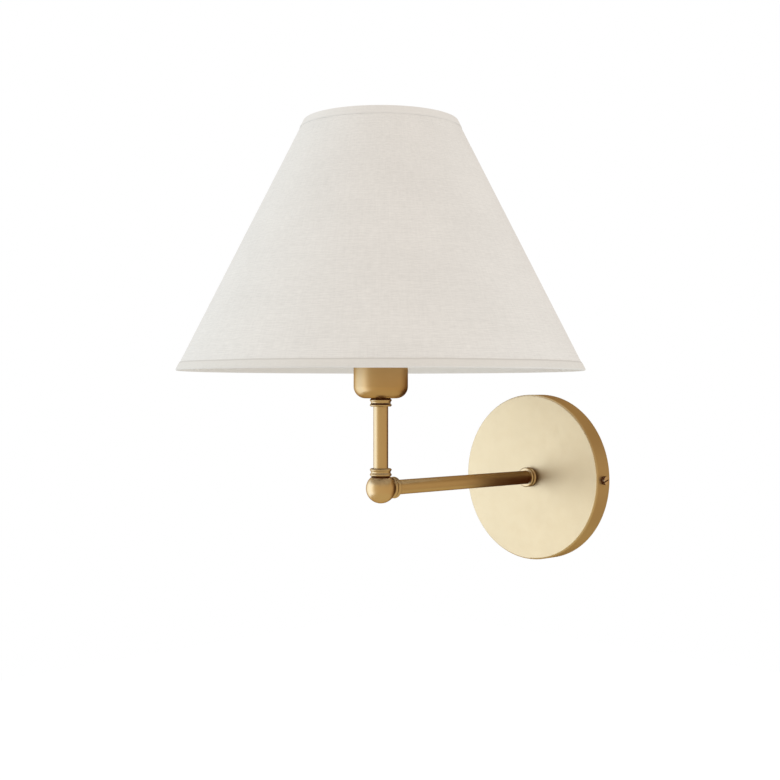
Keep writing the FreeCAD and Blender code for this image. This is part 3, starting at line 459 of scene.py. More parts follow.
class Shader(Nodes):
    """A material with one Principled surface."""

    def __init__(self, name: str) -> None:
        """Starts a bare material with a name.

        Args:
            name: The material's name.
        """
        self.material = bpy.data.materials.new(name)
        super().__init__(self.material)
        self.surface = self.add("ShaderNodeBsdfPrincipled")
        self.add("ShaderNodeOutputMaterial", {"Surface": self.surface.outputs["BSDF"]})

    def set(self, **values: Value) -> None:
        """Feeds sockets of the Principled surface, named with underscores for spaces."""
        for key, value in values.items():
            self.feed(self.surface.inputs[key.replace("_", " ")], value)

    def object_place(self, scale: Place = (1.0, 1.0, 1.0)) -> Socket:
        """The place on the object in metres, stretched by a scale."""
        return self.mapped(self.add("ShaderNodeTexCoord").outputs["Object"], scale)

    def mapped(self, place: Socket, scale: Place) -> Socket:
        """A place multiplied by a scale."""
        return self.add("ShaderNodeMapping", {"Vector": place, "Scale": scale}).outputs["Vector"]

    def ring_place(self, axis: Grain) -> Socket:
        """Distance from an axis and height along it, which are the same all round a turned piece.

        Args:
            axis: ROUND_STEM or ROUND_ARM.

        Returns:
            A vector socket with the distance, the height and zero.
        """
        x, y, z = self.split(self.object_place())
        if axis is Grain.ROUND_STEM:
            across, height = self.math("SUBTRACT", y, STEM_AXIS[1] * MM), z
        else:
            across, height = z, y
        squares = self.math("ADD", self.math("MULTIPLY", x, x),
                            self.math("MULTIPLY", across, across))
        inputs = {0: self.math("SQRT", squares), 1: height}
        return self.add("ShaderNodeCombineXYZ", inputs).outputs[0]

    def along(self, direction: Place) -> Socket:
        """Distance from the stem's axis along a direction, in metres.

        Args:
            direction: A level direction of length 1.

        Returns:
            The socket of the distance.
        """
        inputs = {0: self.object_place(), 1: direction}
        node = self.add("ShaderNodeVectorMath", inputs, operation="DOT_PRODUCT")
        start = float(np.dot(STEM_AXIS, direction)) * MM
        return self.math("SUBTRACT", node.outputs["Value"], start)

    def noise(self, place: Socket, scale: float, detail: float, roughness: float = 0.5) -> Socket:
        """Noise at a place, about 0.5 on average."""
        inputs = {"Vector": place, "Scale": scale, "Detail": detail, "Roughness": roughness}
        return self.add("ShaderNodeTexNoise", inputs).outputs["Fac"]

    def chart_noise(self, along: float, across: float, detail: float,
                    roughness: float = 0.5) -> Socket:
        """Noise on the chart, as fine as a number for each metre along and across it says."""
        return self.noise(self.mapped(self.chart(), (along, across, 1.0)), 1.0, detail, roughness)

    def drift(self, noise: Socket, low: float, high: float) -> Socket:
        """Spreads the usual span of a noise over low..high."""
        return self.fit(noise, *NOISE_SPAN, low, high)

    def cells(self, place: Socket, scale: float) -> Socket:
        """A random level for each cell of a cellular pattern."""
        cells = self.add("ShaderNodeTexVoronoi", {"Vector": place, "Scale": scale})
        return self.add("ShaderNodeSeparateColor", {0: cells.outputs["Color"]}).outputs[0]

    def tones(self, share: Socket, colour: Colour, spread: float) -> Socket:
        """A colour from a spread darker to a spread lighter."""
        return self.mix(share, shaded(colour, 1.0 - spread), shaded(colour, 1.0 + spread))

    def bump(self, height: Socket, distance: float, strength: float) -> Socket:
        """Normal of a relief whose full height is a distance in metres."""
        inputs = {"Height": height, "Distance": distance, "Strength": strength}
        return self.add("ShaderNodeBump", inputs).outputs["Normal"]


def shaded(colour: Colour, level: float) -> Colour:
    """A colour multiplied by a level."""
    return tuple(channel * level for channel in colour)


@dataclass(frozen=True)
class Finish:
    """A named finish, made into one material however many pieces carry it."""

    name: str
    colour: Colour

    def paint(self, shader: Shader) -> None:
        """Sets the shader's surface; each finish has its own."""
        raise NotImplementedError

    def material(self) -> bpy.types.Material:
        """Makes the finish's material when it is first asked for.

        Returns:
            The material, the same one each time.
        """
        known = bpy.data.materials.get(self.name)
        if known is not None:
            return known
        shader = Shader(self.name)
        self.paint(shader)
        return shader.material


@dataclass(frozen=True)
class SatinBrass(Finish):
    """Lacquered satin brass with faint tool marks, clouds of tone and uneven gloss."""

    grain: Grain = Grain.ALL_WAYS
    roughness: float = 0.30
    edge_colour: Colour = (0.80, 0.60, 0.38)
    clouds_per_metre: float = 38.0
    clouds: float = 0.02
    gloss_per_metre: float = 160.0
    gloss: float = 0.02
    rings_per_metre: float = 2600.0
    marks_per_metre: float = 2400.0
    draws_per_metre: float = 60.0
    mark_metres: float = 4e-6
    mark_strength: float = 0.15

    def marks(self, shader: Shader) -> Socket:
        """Height of the tool marks, by the way they run.

        Args:
            shader: The shader to set.

        Returns:
            The socket of the height.
        """
        detail, roughness = 3.0, 0.6
        if self.grain in (Grain.ROUND_STEM, Grain.ROUND_ARM):
            place = shader.ring_place(self.grain)
            return shader.noise(place, self.rings_per_metre, detail, roughness)
        fine, drawn = self.marks_per_metre, self.draws_per_metre
        scale = {
            Grain.ALONG_ARM: (fine, drawn, fine),
            Grain.ALONG_STEM: (fine, fine, drawn),
            Grain.ALL_WAYS: (fine, fine, fine),
        }[self.grain]
        return shader.noise(shader.object_place(scale), 1.0, detail, roughness)

    def paint(self, shader: Shader) -> None:
        """Metal whose tone drifts over centimetres and whose gloss drifts over millimetres.

        Args:
            shader: The shader to set.
        """
        place = shader.object_place()
        clouds = shader.noise(place, self.clouds_per_metre, detail=3.0)
        gloss = shader.noise(place, self.gloss_per_metre, detail=3.0)
        tone = shader.tones(shader.drift(clouds, 0.0, 1.0), self.colour, self.clouds)
        shader.set(
            Base_Color=tone, Metallic=1.0, Specular_Tint=self.edge_colour,
            Roughness=shader.drift(gloss, self.roughness - self.gloss, self.roughness + self.gloss),
            Normal=shader.bump(self.marks(shader), self.mark_metres, self.mark_strength))


@dataclass(frozen=True)
class SheetMetal(Finish):
    """Plated or bare metal with a cellular spangle and a fine scratch."""

    roughness: float = 0.32
    spangle: float = 0.06
    bareness: float = 1.0
    scratches: float = 0.25
    cells_per_metre: float = 520.0
    gloss_per_metre: float = 260.0
    gloss: Span = (-0.08, 0.10)
    scratches_per_metre: Place = (2600.0, 2600.0, 180.0)
    scratch_metres: float = 6e-6

    def paint(self, shader: Shader) -> None:
        """Metal whose cells differ a little in tone and gloss; a dull skin makes it less bare.

        Args:
            shader: The shader to set.
        """
        place = shader.object_place()
        cell = shader.cells(place, self.cells_per_metre)
        gloss = shader.noise(place, self.gloss_per_metre, detail=4.0)
        scratch = shader.noise(shader.object_place(self.scratches_per_metre), 1.0, detail=3.0)
        smooth, rough = self.roughness + self.gloss[0], self.roughness + self.gloss[1]
        shader.set(Base_Color=shader.tones(cell, self.colour, self.spangle),
                   Metallic=self.bareness, Roughness=shader.drift(gloss, smooth, rough),
                   Normal=shader.bump(scratch, self.scratch_metres, self.scratches))


@dataclass(frozen=True)
class Moulded(Finish):
    """Moulded plastic, porcelain or enamel with a fine orange peel and slight tone clouds."""

    roughness: float = 0.4
    peels_per_metre: float = 900.0
    peel_metres: float = 8e-6
    coat: float = 0.0
    mottle: float = 0.03
    clouds_per_metre: float = 120.0
    gloss: float = 0.05
    peel_strength: float = 0.6

    def paint(self, shader: Shader) -> None:
        """Tone drifts over a centimetre; the peel gives the gloss its life.

        Args:
            shader: The shader to set.
        """
        place = shader.object_place()
        clouds = shader.noise(place, self.clouds_per_metre, detail=3.0)
        peel = shader.noise(place, self.peels_per_metre, detail=2.0)
        tone = shader.mix(shader.drift(clouds, 0.0, 1.0),
                          shaded(self.colour, 1.0 - self.mottle), self.colour)
        shader.set(
            Base_Color=tone,
            Roughness=shader.drift(peel, self.roughness - self.gloss, self.roughness + self.gloss),
            Normal=shader.bump(peel, self.peel_metres, self.peel_strength))
        if self.coat:
            shader.set(Coat_Weight=self.coat, Coat_Roughness=0.08)


@dataclass(frozen=True)
class EarthInsulation(Finish):
    """Green wire cover with a yellow stripe that winds slowly round it."""

    stripe: Colour = (0.72, 0.55, 0.05)
    turns_per_metre: float = 14.0
    stripe_edge: Span = (0.19, 0.21)
    grime_per_metre: float = 600.0
    grime_metres: float = 1e-5
    gloss: Span = (0.36, 0.5)

    def paint(self, shader: Shader) -> None:
        """The stripe takes the part of each turn where the chart's winding share is low.

        Args:
            shader: The shader to set.
        """
        share, length, _ = shader.split(shader.chart())
        winding = shader.math("ADD", share, shader.math("MULTIPLY", length, self.turns_per_metre))
        edge = shader.fit(shader.math("PINGPONG", winding, 0.5), *self.stripe_edge, 0.0, 1.0)
        grime = shader.noise(shader.object_place(), self.grime_per_metre, detail=3.0)
        shader.set(Base_Color=shader.mix(edge, self.stripe, self.colour),
                   Roughness=shader.drift(grime, *self.gloss),
                   Normal=shader.bump(grime, self.grime_metres, strength=0.5))


@dataclass(frozen=True)
class Linen(Finish):
    """Plain-woven linen: threads of uneven thickness, long slubs in the weft and slow blotches.

    The chart's first direction runs along the weft, the second along the warp, both in metres.
    """

    weft_pitch: float = 0.00062
    warp_pitch: float = 0.00070
    wander: float = 0.0011
    slub_level: float = 0.115
    levels: Span = (0.815, 1.815)
    relief_metres: float = 1.2e-4
    relief_strength: float = 0.35
    fuzz: float = 0.12

    def thread(self, shader: Shader, along: Socket, pitch: float) -> Socket:
        """Rounded tops of threads that repeat along a direction at a pitch."""
        turn = shader.math("MULTIPLY", along, FULL_TURN / pitch)
        return shader.fit(shader.math("SINE", turn), -1.0, 1.0, 0.0, 1.0)

    def paint(self, shader: Shader) -> None:
        """Slubs lighten and darken the weft, painted shade darkens the gaps between threads, both
        give relief.

        Args:
            shader: The shader to set.
        """
        weftwise, warpwise, _ = shader.split(shader.chart())
        stray = shader.chart_noise(along=90.0, across=420.0, detail=2.0)
        stray = shader.math("SUBTRACT", stray, 0.5)
        stray = shader.math("MULTIPLY", stray, self.wander)
        weft = self.thread(shader, shader.math("ADD", warpwise, stray), self.weft_pitch)
        warp = self.thread(shader, shader.math("ADD", weftwise, stray), self.warp_pitch)
        streak = shader.chart_noise(along=230.0, across=1500.0, detail=3.0, roughness=0.6)
        slub = shader.chart_noise(along=34.0, across=950.0, detail=2.0)
        knot = shader.chart_noise(along=900.0, across=95.0, detail=2.0)
        blotch = shader.chart_noise(along=22.0, across=26.0, detail=3.0)
        # painted shade: the weave darkens the tone in the gaps between threads
        weave_and_gap_shade = shader.total((weft, 0.6), (warp, 0.4))
        level = shader.total((streak, 1.1), (slub, 0.45), (knot, 0.45), (blotch, 0.45),
                             (weave_and_gap_shade, 0.18))
        tone = shader.tones(shader.fit(level, *self.levels, 0.0, 1.0), self.colour, self.slub_level)
        relief = shader.total((weave_and_gap_shade, 0.7), (streak, 0.5), (slub, 0.5))
        shader.set(Base_Color=self.edged(shader, warpwise, tone), Roughness=0.92,
                   Specular_IOR_Level=0.25, Sheen_Weight=self.fuzz, Sheen_Roughness=0.5,
                   Normal=shader.bump(relief, self.relief_metres, self.relief_strength))

    def edged(self, shader: Shader, across: Socket, tone: Socket) -> Socket:
        """The cloth's tone near its edge; a panel has no edge that shows."""
        return tone


@dataclass(frozen=True)
class PanelLinen(Linen):
    """Linen panel with a thin line of painted shade beside its lapped seam's cut edge."""

    seam_edge: float = 0.0055
    # painted shade: width and tone level of the dark line beside the seam's cut edge
    seam_shade_width: float = 0.0004
    seam_shade_level: float = 0.85

    def edged(self, shader: Shader, across: Socket, tone: Socket) -> Socket:
        """Paints a thin line of shade into the tone near the cut edge's upright plane, on the
        seam's side of the stem.

        Args:
            shader: The shader to set.
            across: Length across the weft on the chart.
            tone: The cloth's own tone.

        Returns:
            The socket of the changed tone.
        """
        turn = math.radians(SEAM_TURN)
        ahead = shader.along((math.cos(turn), math.sin(turn), 0.0))
        aside = shader.along((-math.sin(turn), math.cos(turn), 0.0))
        away = shader.math("SUBTRACT", aside, self.seam_edge + self.seam_shade_width)
        away = shader.math("ABSOLUTE", away)
        share = shader.math("MAXIMUM",
                            shader.fit(away, self.seam_shade_width, 2 * self.seam_shade_width, 0.0, 1.0),
                            shader.math("LESS_THAN", ahead, 0.0))
        # painted shade: the thin dark line beside the seam's cut edge
        return shader.mix(share, shaded(self.colour, self.seam_shade_level), tone)


@dataclass(frozen=True)
class HemTape(Linen):
    """Linen tape with a thin line of painted shade at its edge and, if asked, painted light on its
    inner return.
    """

    # painted shade: width and tone level of the dark line at the tape's edge
    edge_shade_width: float = 0.0006
    edge_shade_level: float = 0.85
    fold: float = 0.0090
    fold_width: float = 0.0015
    # painted light: how much and how far the inner return past the fold is lightened
    return_light_share: float = 0.7
    return_light_level: float = 1.0

    def edged(self, shader: Shader, across: Socket, tone: Socket) -> Socket:
        """Paints a thin line of shade into the tone at the tape's edge and painted light past the
        fold.

        Args:
            shader: The shader to set.
            across: Length across the weft on the chart.
            tone: The cloth's own tone.

        Returns:
            The socket of the changed tone.
        """
        share = shader.fit(across, self.edge_shade_width, 2 * self.edge_shade_width, 0.0, 1.0)
        past = shader.fit(across, self.fold, self.fold + self.fold_width, 0.0, self.return_light_share)
        # painted light: the inner return past the fold is lightened
        tone = shader.mix(past, tone, shaded(self.colour, self.return_light_level))
        # painted shade: the thin dark line at the tape's edge
        return shader.mix(share, shaded(self.colour, self.edge_shade_level), tone)


@dataclass(frozen=True)
class OpalGlass(Finish):
    """White opal glass: milky under a smooth gloss."""

    milk_per_metre: float = 45.0
    milk_level: float = 0.97
    waves_per_metre: float = 70.0
    wave_metres: float = 6e-5

    def paint(self, shader: Shader) -> None:
        """A faint cloud in the milk and a slight waviness of the blown surface.

        Args:
            shader: The shader to set.
        """
        place = shader.object_place()
        milk = shader.noise(place, self.milk_per_metre, detail=2.0)
        waves = shader.noise(place, self.waves_per_metre, detail=1.0)
        shader.set(Base_Color=shader.mix(milk, shaded(self.colour, self.milk_level), self.colour),
                   Roughness=0.22, Coat_Weight=0.5, Coat_Roughness=0.06,
                   Normal=shader.bump(waves, self.wave_metres, strength=0.25))


BRASS_TONE: Colour = (0.66, 0.50, 0.28)
BRASS_STEM = SatinBrass("brass_turned_on_stem", BRASS_TONE, Grain.ROUND_STEM)
BRASS_ARM = SatinBrass("brass_turned_on_arm", BRASS_TONE, Grain.ROUND_ARM)
# painted light: the plate gets a paler, lighter copy of the brass tone
BRASS_PLATE_LIT = SatinBrass("brass_spun_plate_painted_light", (0.675, 0.540, 0.325), Grain.ROUND_ARM,
                         roughness=0.43)
# painted shade: the cup gets a darker copy of the brass tone, for the dim underside of the shade
BRASS_CUP_SHADED = SatinBrass("brass_spun_cup_painted_shade", (0.61, 0.425, 0.21), Grain.ROUND_STEM)
BRASS_ARM_TUBE = SatinBrass("brass_drawn_arm", BRASS_TONE, Grain.ALONG_ARM)
BRASS_STEM_TUBE = SatinBrass("brass_drawn_stem", BRASS_TONE, Grain.ALONG_STEM)
# painted light: the ball gets a lighter copy of the brass tone
BRASS_BALL_LIT = SatinBrass("brass_tumbled_painted_light", (0.71, 0.535, 0.30), Grain.ALL_WAYS)
BRASS_SCREW = SatinBrass("brass_turned_screw", (0.76, 0.60, 0.41), Grain.ALL_WAYS)
ZINC = SheetMetal("dulled_zinc", (0.66, 0.67, 0.68), roughness=0.38, spangle=0.06, bareness=0.68)
BARE_BRASS = SheetMetal("bare_brass", (0.72, 0.55, 0.27), roughness=0.28, spangle=0.04)
TINNED = SheetMetal("tinned_copper", (0.66, 0.66, 0.64), roughness=0.38, spangle=0.05)
ROLLED_CAP = SheetMetal("rolled_cap_sheet", (0.74, 0.73, 0.71), roughness=0.28, spangle=0.02,
                        bareness=0.85, scratches=0.05)
SOLDER = SheetMetal("solder", (0.58, 0.58, 0.57), roughness=0.42, spangle=0.08)
NYLON = Moulded("natural_nylon", (0.80, 0.79, 0.72), roughness=0.46, peels_per_metre=700.0,
                peel_metres=1.2e-5)
HOLDER_PLASTIC = Moulded("white_moulding", (0.82, 0.81, 0.78), roughness=0.34,
                         peels_per_metre=800.0)
PORCELAIN = Moulded("unglazed_porcelain", (0.84, 0.83, 0.79), roughness=0.62,
                    peels_per_metre=1600.0, peel_metres=2e-5, mottle=0.05)
ENAMEL = Moulded("white_enamel", (0.80, 0.79, 0.76), roughness=0.30, peels_per_metre=1100.0,
                 peel_metres=1.4e-5, coat=0.3)
LINING = Moulded("shade_lining", (0.76, 0.715, 0.66), roughness=0.55, peels_per_metre=500.0,
                 peel_metres=1e-5, mottle=0.02)
BLACK_GLASS = Moulded("fused_black_glass", (0.02, 0.02, 0.024), roughness=0.12,
                      peels_per_metre=400.0, peel_metres=2e-5, coat=0.6)
LIVE_COVER = Moulded("brown_wire_cover", (0.16, 0.07, 0.03), peel_metres=1.2e-5, mottle=0.10)
NEUTRAL_COVER = Moulded("blue_wire_cover", (0.06, 0.17, 0.42), peel_metres=1.2e-5, mottle=0.10)
EARTH_COVER = EarthInsulation("green_and_yellow_cover", (0.10, 0.30, 0.05))
PANEL_LINEN = PanelLinen("shade_linen", (0.803, 0.79, 0.761))
# painted shade: the lower hem tape's tone is darker than the upper one's, with a dark edge line;
# its inner return carries painted light
HEM_LINEN = HemTape("hem_tape_linen", (0.760, 0.742, 0.702), slub_level=0.06, return_light_level=1.17)
# painted shade: a faint dark line at the upper tape's edge
TOP_HEM_LINEN = HemTape("top_hem_tape_linen", (0.81, 0.795, 0.765), slub_level=0.06,
                        edge_shade_level=0.97)
OPAL = OpalGlass("opal_glass", (0.86, 0.85, 0.82))


# Pieces


def put_in(name: str, surface: Surface, body: str, finish: Finish,
           nodes: Sequence[str] = (), sharp_degrees: float = 35.0) -> bpy.types.Object:
    """Makes a surface a piece of the lamp, riding on a body.

    Args:
        name: The piece's name.
        surface: Its surface in the lamp's place.
        body: The body that carries it.
        finish: Its finish.
        nodes: The solids that it stands for.
        sharp_degrees: Edges that turn by more stay sharp.

    Returns:
        The piece.
    """
    piece = bpy.data.objects.new(name, make_mesh(name, surface, sharp_degrees))
    bpy.context.scene.collection.objects.link(piece)
    piece.data.materials.append(finish.material())
    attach(piece, body)
    if nodes:
        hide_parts(*nodes)
    log.info("%s: %d faces, %s, rides on %s", name, len(piece.data.polygons), finish.name, body)
    return piece


def dress(finish: Finish, *nodes: str) -> None:
    """Gives solids that are shown as they are their finish.

    Args:
        finish: Their finish.
        nodes: The solids' names.
    """
    for node in nodes:
        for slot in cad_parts[node].material_slots:
            slot.material = finish.material()
        log.info("%s: kept from the solids, %s", node, finish.name)


@dataclass
class Collar:
    """Turned collar: two beads with a hollow between, bored for a nipple and seated on a tube."""

    name: str
    node: str
    facing: Facing
    place: Place
    finish: Finish
    radius: float = 7.375
    length: float = 5.5
    base_crest: float = 1.30
    tube_crest: float = 4.55
    hollow: float = 0.80
    hollow_power: float = 1.5
    base_fall: float = 0.95
    tube_fall: float = 0.70
    fall_power: float = 1.8
    bore_radius: float = 4.10
    seat_radius: float = 5.05
    seat_depth: float = 1.5
    rows: int = 73

    def outer_radius(self, height: Array) -> Array:
        """Two crests with a hollow between them and a fall towards each end.

        Between the crests the radius drops by hollow * sin(pi t)^1.5, where t is the share of the
        way from one crest to the other; beyond a crest it drops by fall * t^1.8, where t is the
        share of the way to the end.

        Args:
            height: Heights along the collar.

        Returns:
            The collar's radius at each height.
        """
        crests, beyond = self.tube_crest - self.base_crest, self.length - self.tube_crest
        between = np.clip((height - self.base_crest) / crests, 0.0, 1.0)
        to_base = np.clip(1.0 - height / self.base_crest, 0.0, 1.0)
        to_tube = np.clip((height - self.tube_crest) / beyond, 0.0, 1.0)
        drop = self.hollow * np.sin(math.pi * between) ** self.hollow_power
        return (self.radius - drop - self.base_fall * to_base ** self.fall_power
                - self.tube_fall * to_tube ** self.fall_power)

    def build(self) -> None:
        """Turns the collar's outline: its outside, then back down its seat and bore."""
        height = np.linspace(0.0, self.length, self.rows)
        outside = np.stack([self.outer_radius(height), height], axis=-1)
        step = self.length - self.seat_depth
        inside = np.array([(self.seat_radius, self.length), (self.seat_radius, step),
                           (self.bore_radius, step), (self.bore_radius, 0.0)])
        surface = turned(np.vstack([outside, inside])).placed(self.facing, self.place)
        put_in(self.name, surface, "fixture", self.finish, [self.node])


@dataclass
class SetScrew:
    """Slotted screw that holds the backplate by its rim, with its head outside."""

    name: str
    node: str
    facing: Facing
    seat: Place
    head_radius: float = 3.1
    head_height: float = 2.7
    edge_radius: float = 0.15
    shank_radius: float = 2.5
    shank_length: float = 8.82
    slot_width: float = 1.0
    slot_depth: float = 1.6
    slot_turn: float = 18.0
    slot_rows: int = 7
    side_rows: int = 28

    def surface(self) -> Surface:
        """Round head on a shank, cut across by a slot.

        Each row lies on chords at an angle p of -90 to 90 degrees: the outline's point of radius r
        and height h is at (-r cos p, r sin p, h) at one end and at (r cos p, r sin p, h) at the
        other. Between the slot's edges no point is higher than its floor; the rows at the edges
        are there twice, at both heights.

        Returns:
            The screw's surface, its axis upright and its head's seat at height 0.
        """
        top = self.head_height
        head = rounded_outline((self.head_radius, 0.0), (self.head_radius, top, self.edge_radius),
                               (0.0, top), (0.0, 0.0))[:-2]
        shank = [(self.shank_radius, -self.shank_length), (self.shank_radius, 0.0)]
        outline = np.vstack([shank, head])
        edge = math.asin(self.slot_width / 2 / self.head_radius)
        beside = np.linspace(-math.pi / 2, -edge, self.side_rows)
        floor = np.linspace(-edge, edge, self.slot_rows)
        turn = np.concatenate([beside, floor, -beside[::-1]])[:, None]
        counts = [len(beside), len(floor), len(beside)]
        ceiling = np.repeat([top, top - self.slot_depth, top], counts)[:, None]
        ends = np.vstack([outline * (-1.0, 1.0), outline[::-1]])
        along, across = ends[:, 0] * np.cos(turn), np.abs(ends[:, 0]) * np.sin(turn)
        cos, sin = math.cos(math.radians(self.slot_turn)), math.sin(math.radians(self.slot_turn))
        points = np.stack([along * cos - across * sin, along * sin + across * cos,
                           np.minimum(ends[:, 1], ceiling)], axis=-1)
        return grid_surface(points, ring=True)

    def build(self) -> None:
        """Puts the screw on its seat on the rim."""
        surface = self.surface().placed(self.facing, self.seat)
        put_in(self.name, surface, self.node, BRASS_SCREW, [self.node])


@dataclass
class ArmAndStem:
    """Backplate, arm, ball elbow, stem, the four collars between them and the two set screws."""

    reach: float = -STEM_AXIS[1]
    plate_depth: float = 15.0
    screw_seat: float = 62.52
    screw_from_wall: float = 7.0
    ball_flat: float = 8.0
    cup_height: float = 60.5

    def collars(self) -> list[Collar]:
        """Places a collar at the plate, at both sides of the ball and under the cup.

        Returns:
            The four collars.
        """
        return [
            Collar("beaded_wall_collar", "wall_collar", Facing.TO_ROOM,
                   (0.0, -self.plate_depth, 0.0), BRASS_ARM),
            Collar("beaded_arm_collar", "arm_collar", Facing.TO_WALL,
                   (0.0, self.ball_flat - self.reach, 0.0), BRASS_ARM),
            Collar("beaded_stem_collar", "stem_collar_lower", Facing.UP,
                   (0.0, -self.reach, self.ball_flat), BRASS_STEM),
            Collar("beaded_cup_collar", "stem_collar_upper", Facing.DOWN,
                   (0.0, -self.reach, self.cup_height), BRASS_STEM),
        ]

    def screws(self) -> list[SetScrew]:
        """Places a set screw at each side of the plate.

        Returns:
            The two set screws.
        """
        return [
            SetScrew("slotted_screw_right", "set_screw_right", Facing.RIGHT,
                     (self.screw_seat, -self.screw_from_wall, 0.0)),
            SetScrew("slotted_screw_left", "set_screw_left", Facing.LEFT,
                     (-self.screw_seat, -self.screw_from_wall, 0.0)),
        ]

    def build(self) -> None:
        """Builds the collars and set screws and dresses the plate, tubes, ball and nipples."""
        for piece in [*self.collars(), *self.screws()]:
            piece.build()
        dress(BRASS_PLATE_LIT, "backplate")
        dress(BRASS_ARM_TUBE, "arm_tube")
        dress(BRASS_STEM_TUBE, "stem_tube")
        dress(BRASS_BALL_LIT, "elbow_ball")
        dress(ZINC, "arm_nipple", "stem_nipple_lower", "stem_nipple_upper")


@dataclass
class WallFixing:
    """What the backplate hides: bracket, terminal block, wires, nipple, washer and nut."""

    nipple_start: float = -28.0
    nipple_end: float = -6.9
    nipple_radius: float = 3.95
    nipple_bore: float = 2.75
    nipple_pitch: float = 1.0
    nipple_thread: float = 0.36
    nipple_chamfer: float = 0.5
    nipple_land: float = 0.5
    nut_start: float = -11.7
    nut_height: float = 4.0
    nut_flats: float = 13.0
    nut_bore: float = 4.0
    nut_chamfer: float = 0.35
    nut_cone: float = 0.99
    tag_neck: float = 5.5
    nut_tag_hole: float = 4.1
    nut_tag_turn: float = 62.0
    nut_tag_from_wall: float = 10.95
    screw_tag_hole: float = 2.15
    screw_tag_from_wall: float = 3.55
    screw_from_arm: float = 17.0
    screw_turn: float = 120.0
    wire_radius: float = 1.0
    wire_pulls: Span = (9.0, 24.0)

    def nipple(self) -> Surface:
        """Threaded tube: the thread's roots and a chamfer at each end are cut from its radius.

        Returns:
            The nipple's surface, on the arm's axis.
        """
        length = self.nipple_end - self.nipple_start
        corners = rounded_outline((self.nipple_bore, 0.0), (self.nipple_radius, 0.0),
                                  (self.nipple_radius, length), (self.nipple_bore, length))

        def relief(angle: Array, radius: Array, height: Array) -> Pair:
            """Cuts the thread and the chamfers from the outside.

            Args:
                angle: Angles about the axis.
                radius: Radii before the change.
                height: Heights before the change.

            Returns:
                The changed radii and heights.
            """
            root = self.nipple_thread * (1.0 - helix_wave(angle, height, self.nipple_pitch))
            from_end = np.minimum(height, length - height)
            chamfer = np.clip(self.nipple_chamfer - from_end, 0.0, None)
            outside = radius > self.nipple_bore + self.nipple_land
            return radius - np.maximum(root, chamfer) * outside, height

        return turned(subdivided(corners, self.nipple_pitch / 12), segments=60, relief=relief)

    def nut(self) -> Surface:
        """Six-sided nut with a cone cut at each face.

        The radius is half the flats / cos(angle from the nearest flat's middle), and no more than
        the cone's.

        Returns:
            The nut's surface, on the arm's axis.
        """
        half, top = self.nut_flats / 2, self.nut_height
        bore, wide = self.nut_bore, self.nut_bore + self.nut_chamfer
        corners = rounded_outline((wide, 0.0), (2 * half, 0.0), (2 * half, top), (wide, top),
                                  (bore, top - self.nut_chamfer), (bore, self.nut_chamfer))

        def relief(angle: Array, radius: Array, height: Array) -> Pair:
            """Limits the radius to the flats and to the cones at both faces.

            Args:
                angle: Angles about the axis.
                radius: Radii before the change.
                height: Heights before the change.

            Returns:
                The changed radii and heights.
            """
            flats = half / np.cos(angle % (math.pi / 3) - math.pi / 6)
            cone = half * self.nut_cone + np.minimum(height, top - height) * math.sqrt(3.0)
            return np.minimum(radius, np.minimum(flats, cone)), height

        return turned(subdivided(corners, longest=0.25), segments=144, relief=relief)

    def earth_wire(self) -> Surface:
        """Loop of wire between the nut's and the earth screw's ring tags, straight at both ends.

        Each end lies a hole's radius and a neck's length from the middle of its tag.

        Returns:
            The wire's surface.
        """
        lean, aside = math.radians(self.nut_tag_turn), math.radians(self.screw_turn)
        rise, fall = np.array([math.cos(lean), 0.0, math.sin(lean)]), np.array([0.0, 0.0, 1.0])
        nut = np.array([0.0, -self.nut_tag_from_wall, 0.0])
        screw = np.array([self.screw_from_arm * math.cos(aside), -self.screw_tag_from_wall,
                          self.screw_from_arm * math.sin(aside)])
        start = nut + rise * (self.nut_tag_hole + self.tag_neck)
        end = screw + fall * (self.screw_tag_hole + self.tag_neck)
        near, far = self.wire_pulls
        controls = np.array([start, start + near * rise, start + far * rise,
                             end + far * fall, end + near * fall, end])
        return swept(drawn_curve(controls, count=120), self.wire_radius, upward=(0.0, 1.0, 0.0))

    def build(self) -> None:
        """Builds the nipple, nut and earth wire and dresses the rest."""
        nipple = self.nipple().placed(Facing.TO_WALL, (0.0, self.nipple_start, 0.0))
        put_in("threaded_nipple", nipple, "fixture", ZINC, ["wall_nipple"],
               sharp_degrees=60.0)
        nut = self.nut().placed(Facing.TO_WALL, (0.0, self.nut_start, 0.0))
        put_in("chamfered_nut", nut, "fixture", ZINC, ["nipple_nut"],
               sharp_degrees=28.0)
        put_in("striped_earth_wire", self.earth_wire(), "fixture", EARTH_COVER,
               ["earth_wire"])
        dress(ZINC, "wall_bracket", "earth_screw", "block_screw", "lock_washer")
        dress(TINNED, "earth_tags")
        dress(NYLON, "terminal_block")
        dress(BARE_BRASS, "terminal_barrels", "clamp_screws")
        dress(LIVE_COVER, "live_wire")
        dress(NEUTRAL_COVER, "neutral_wire")


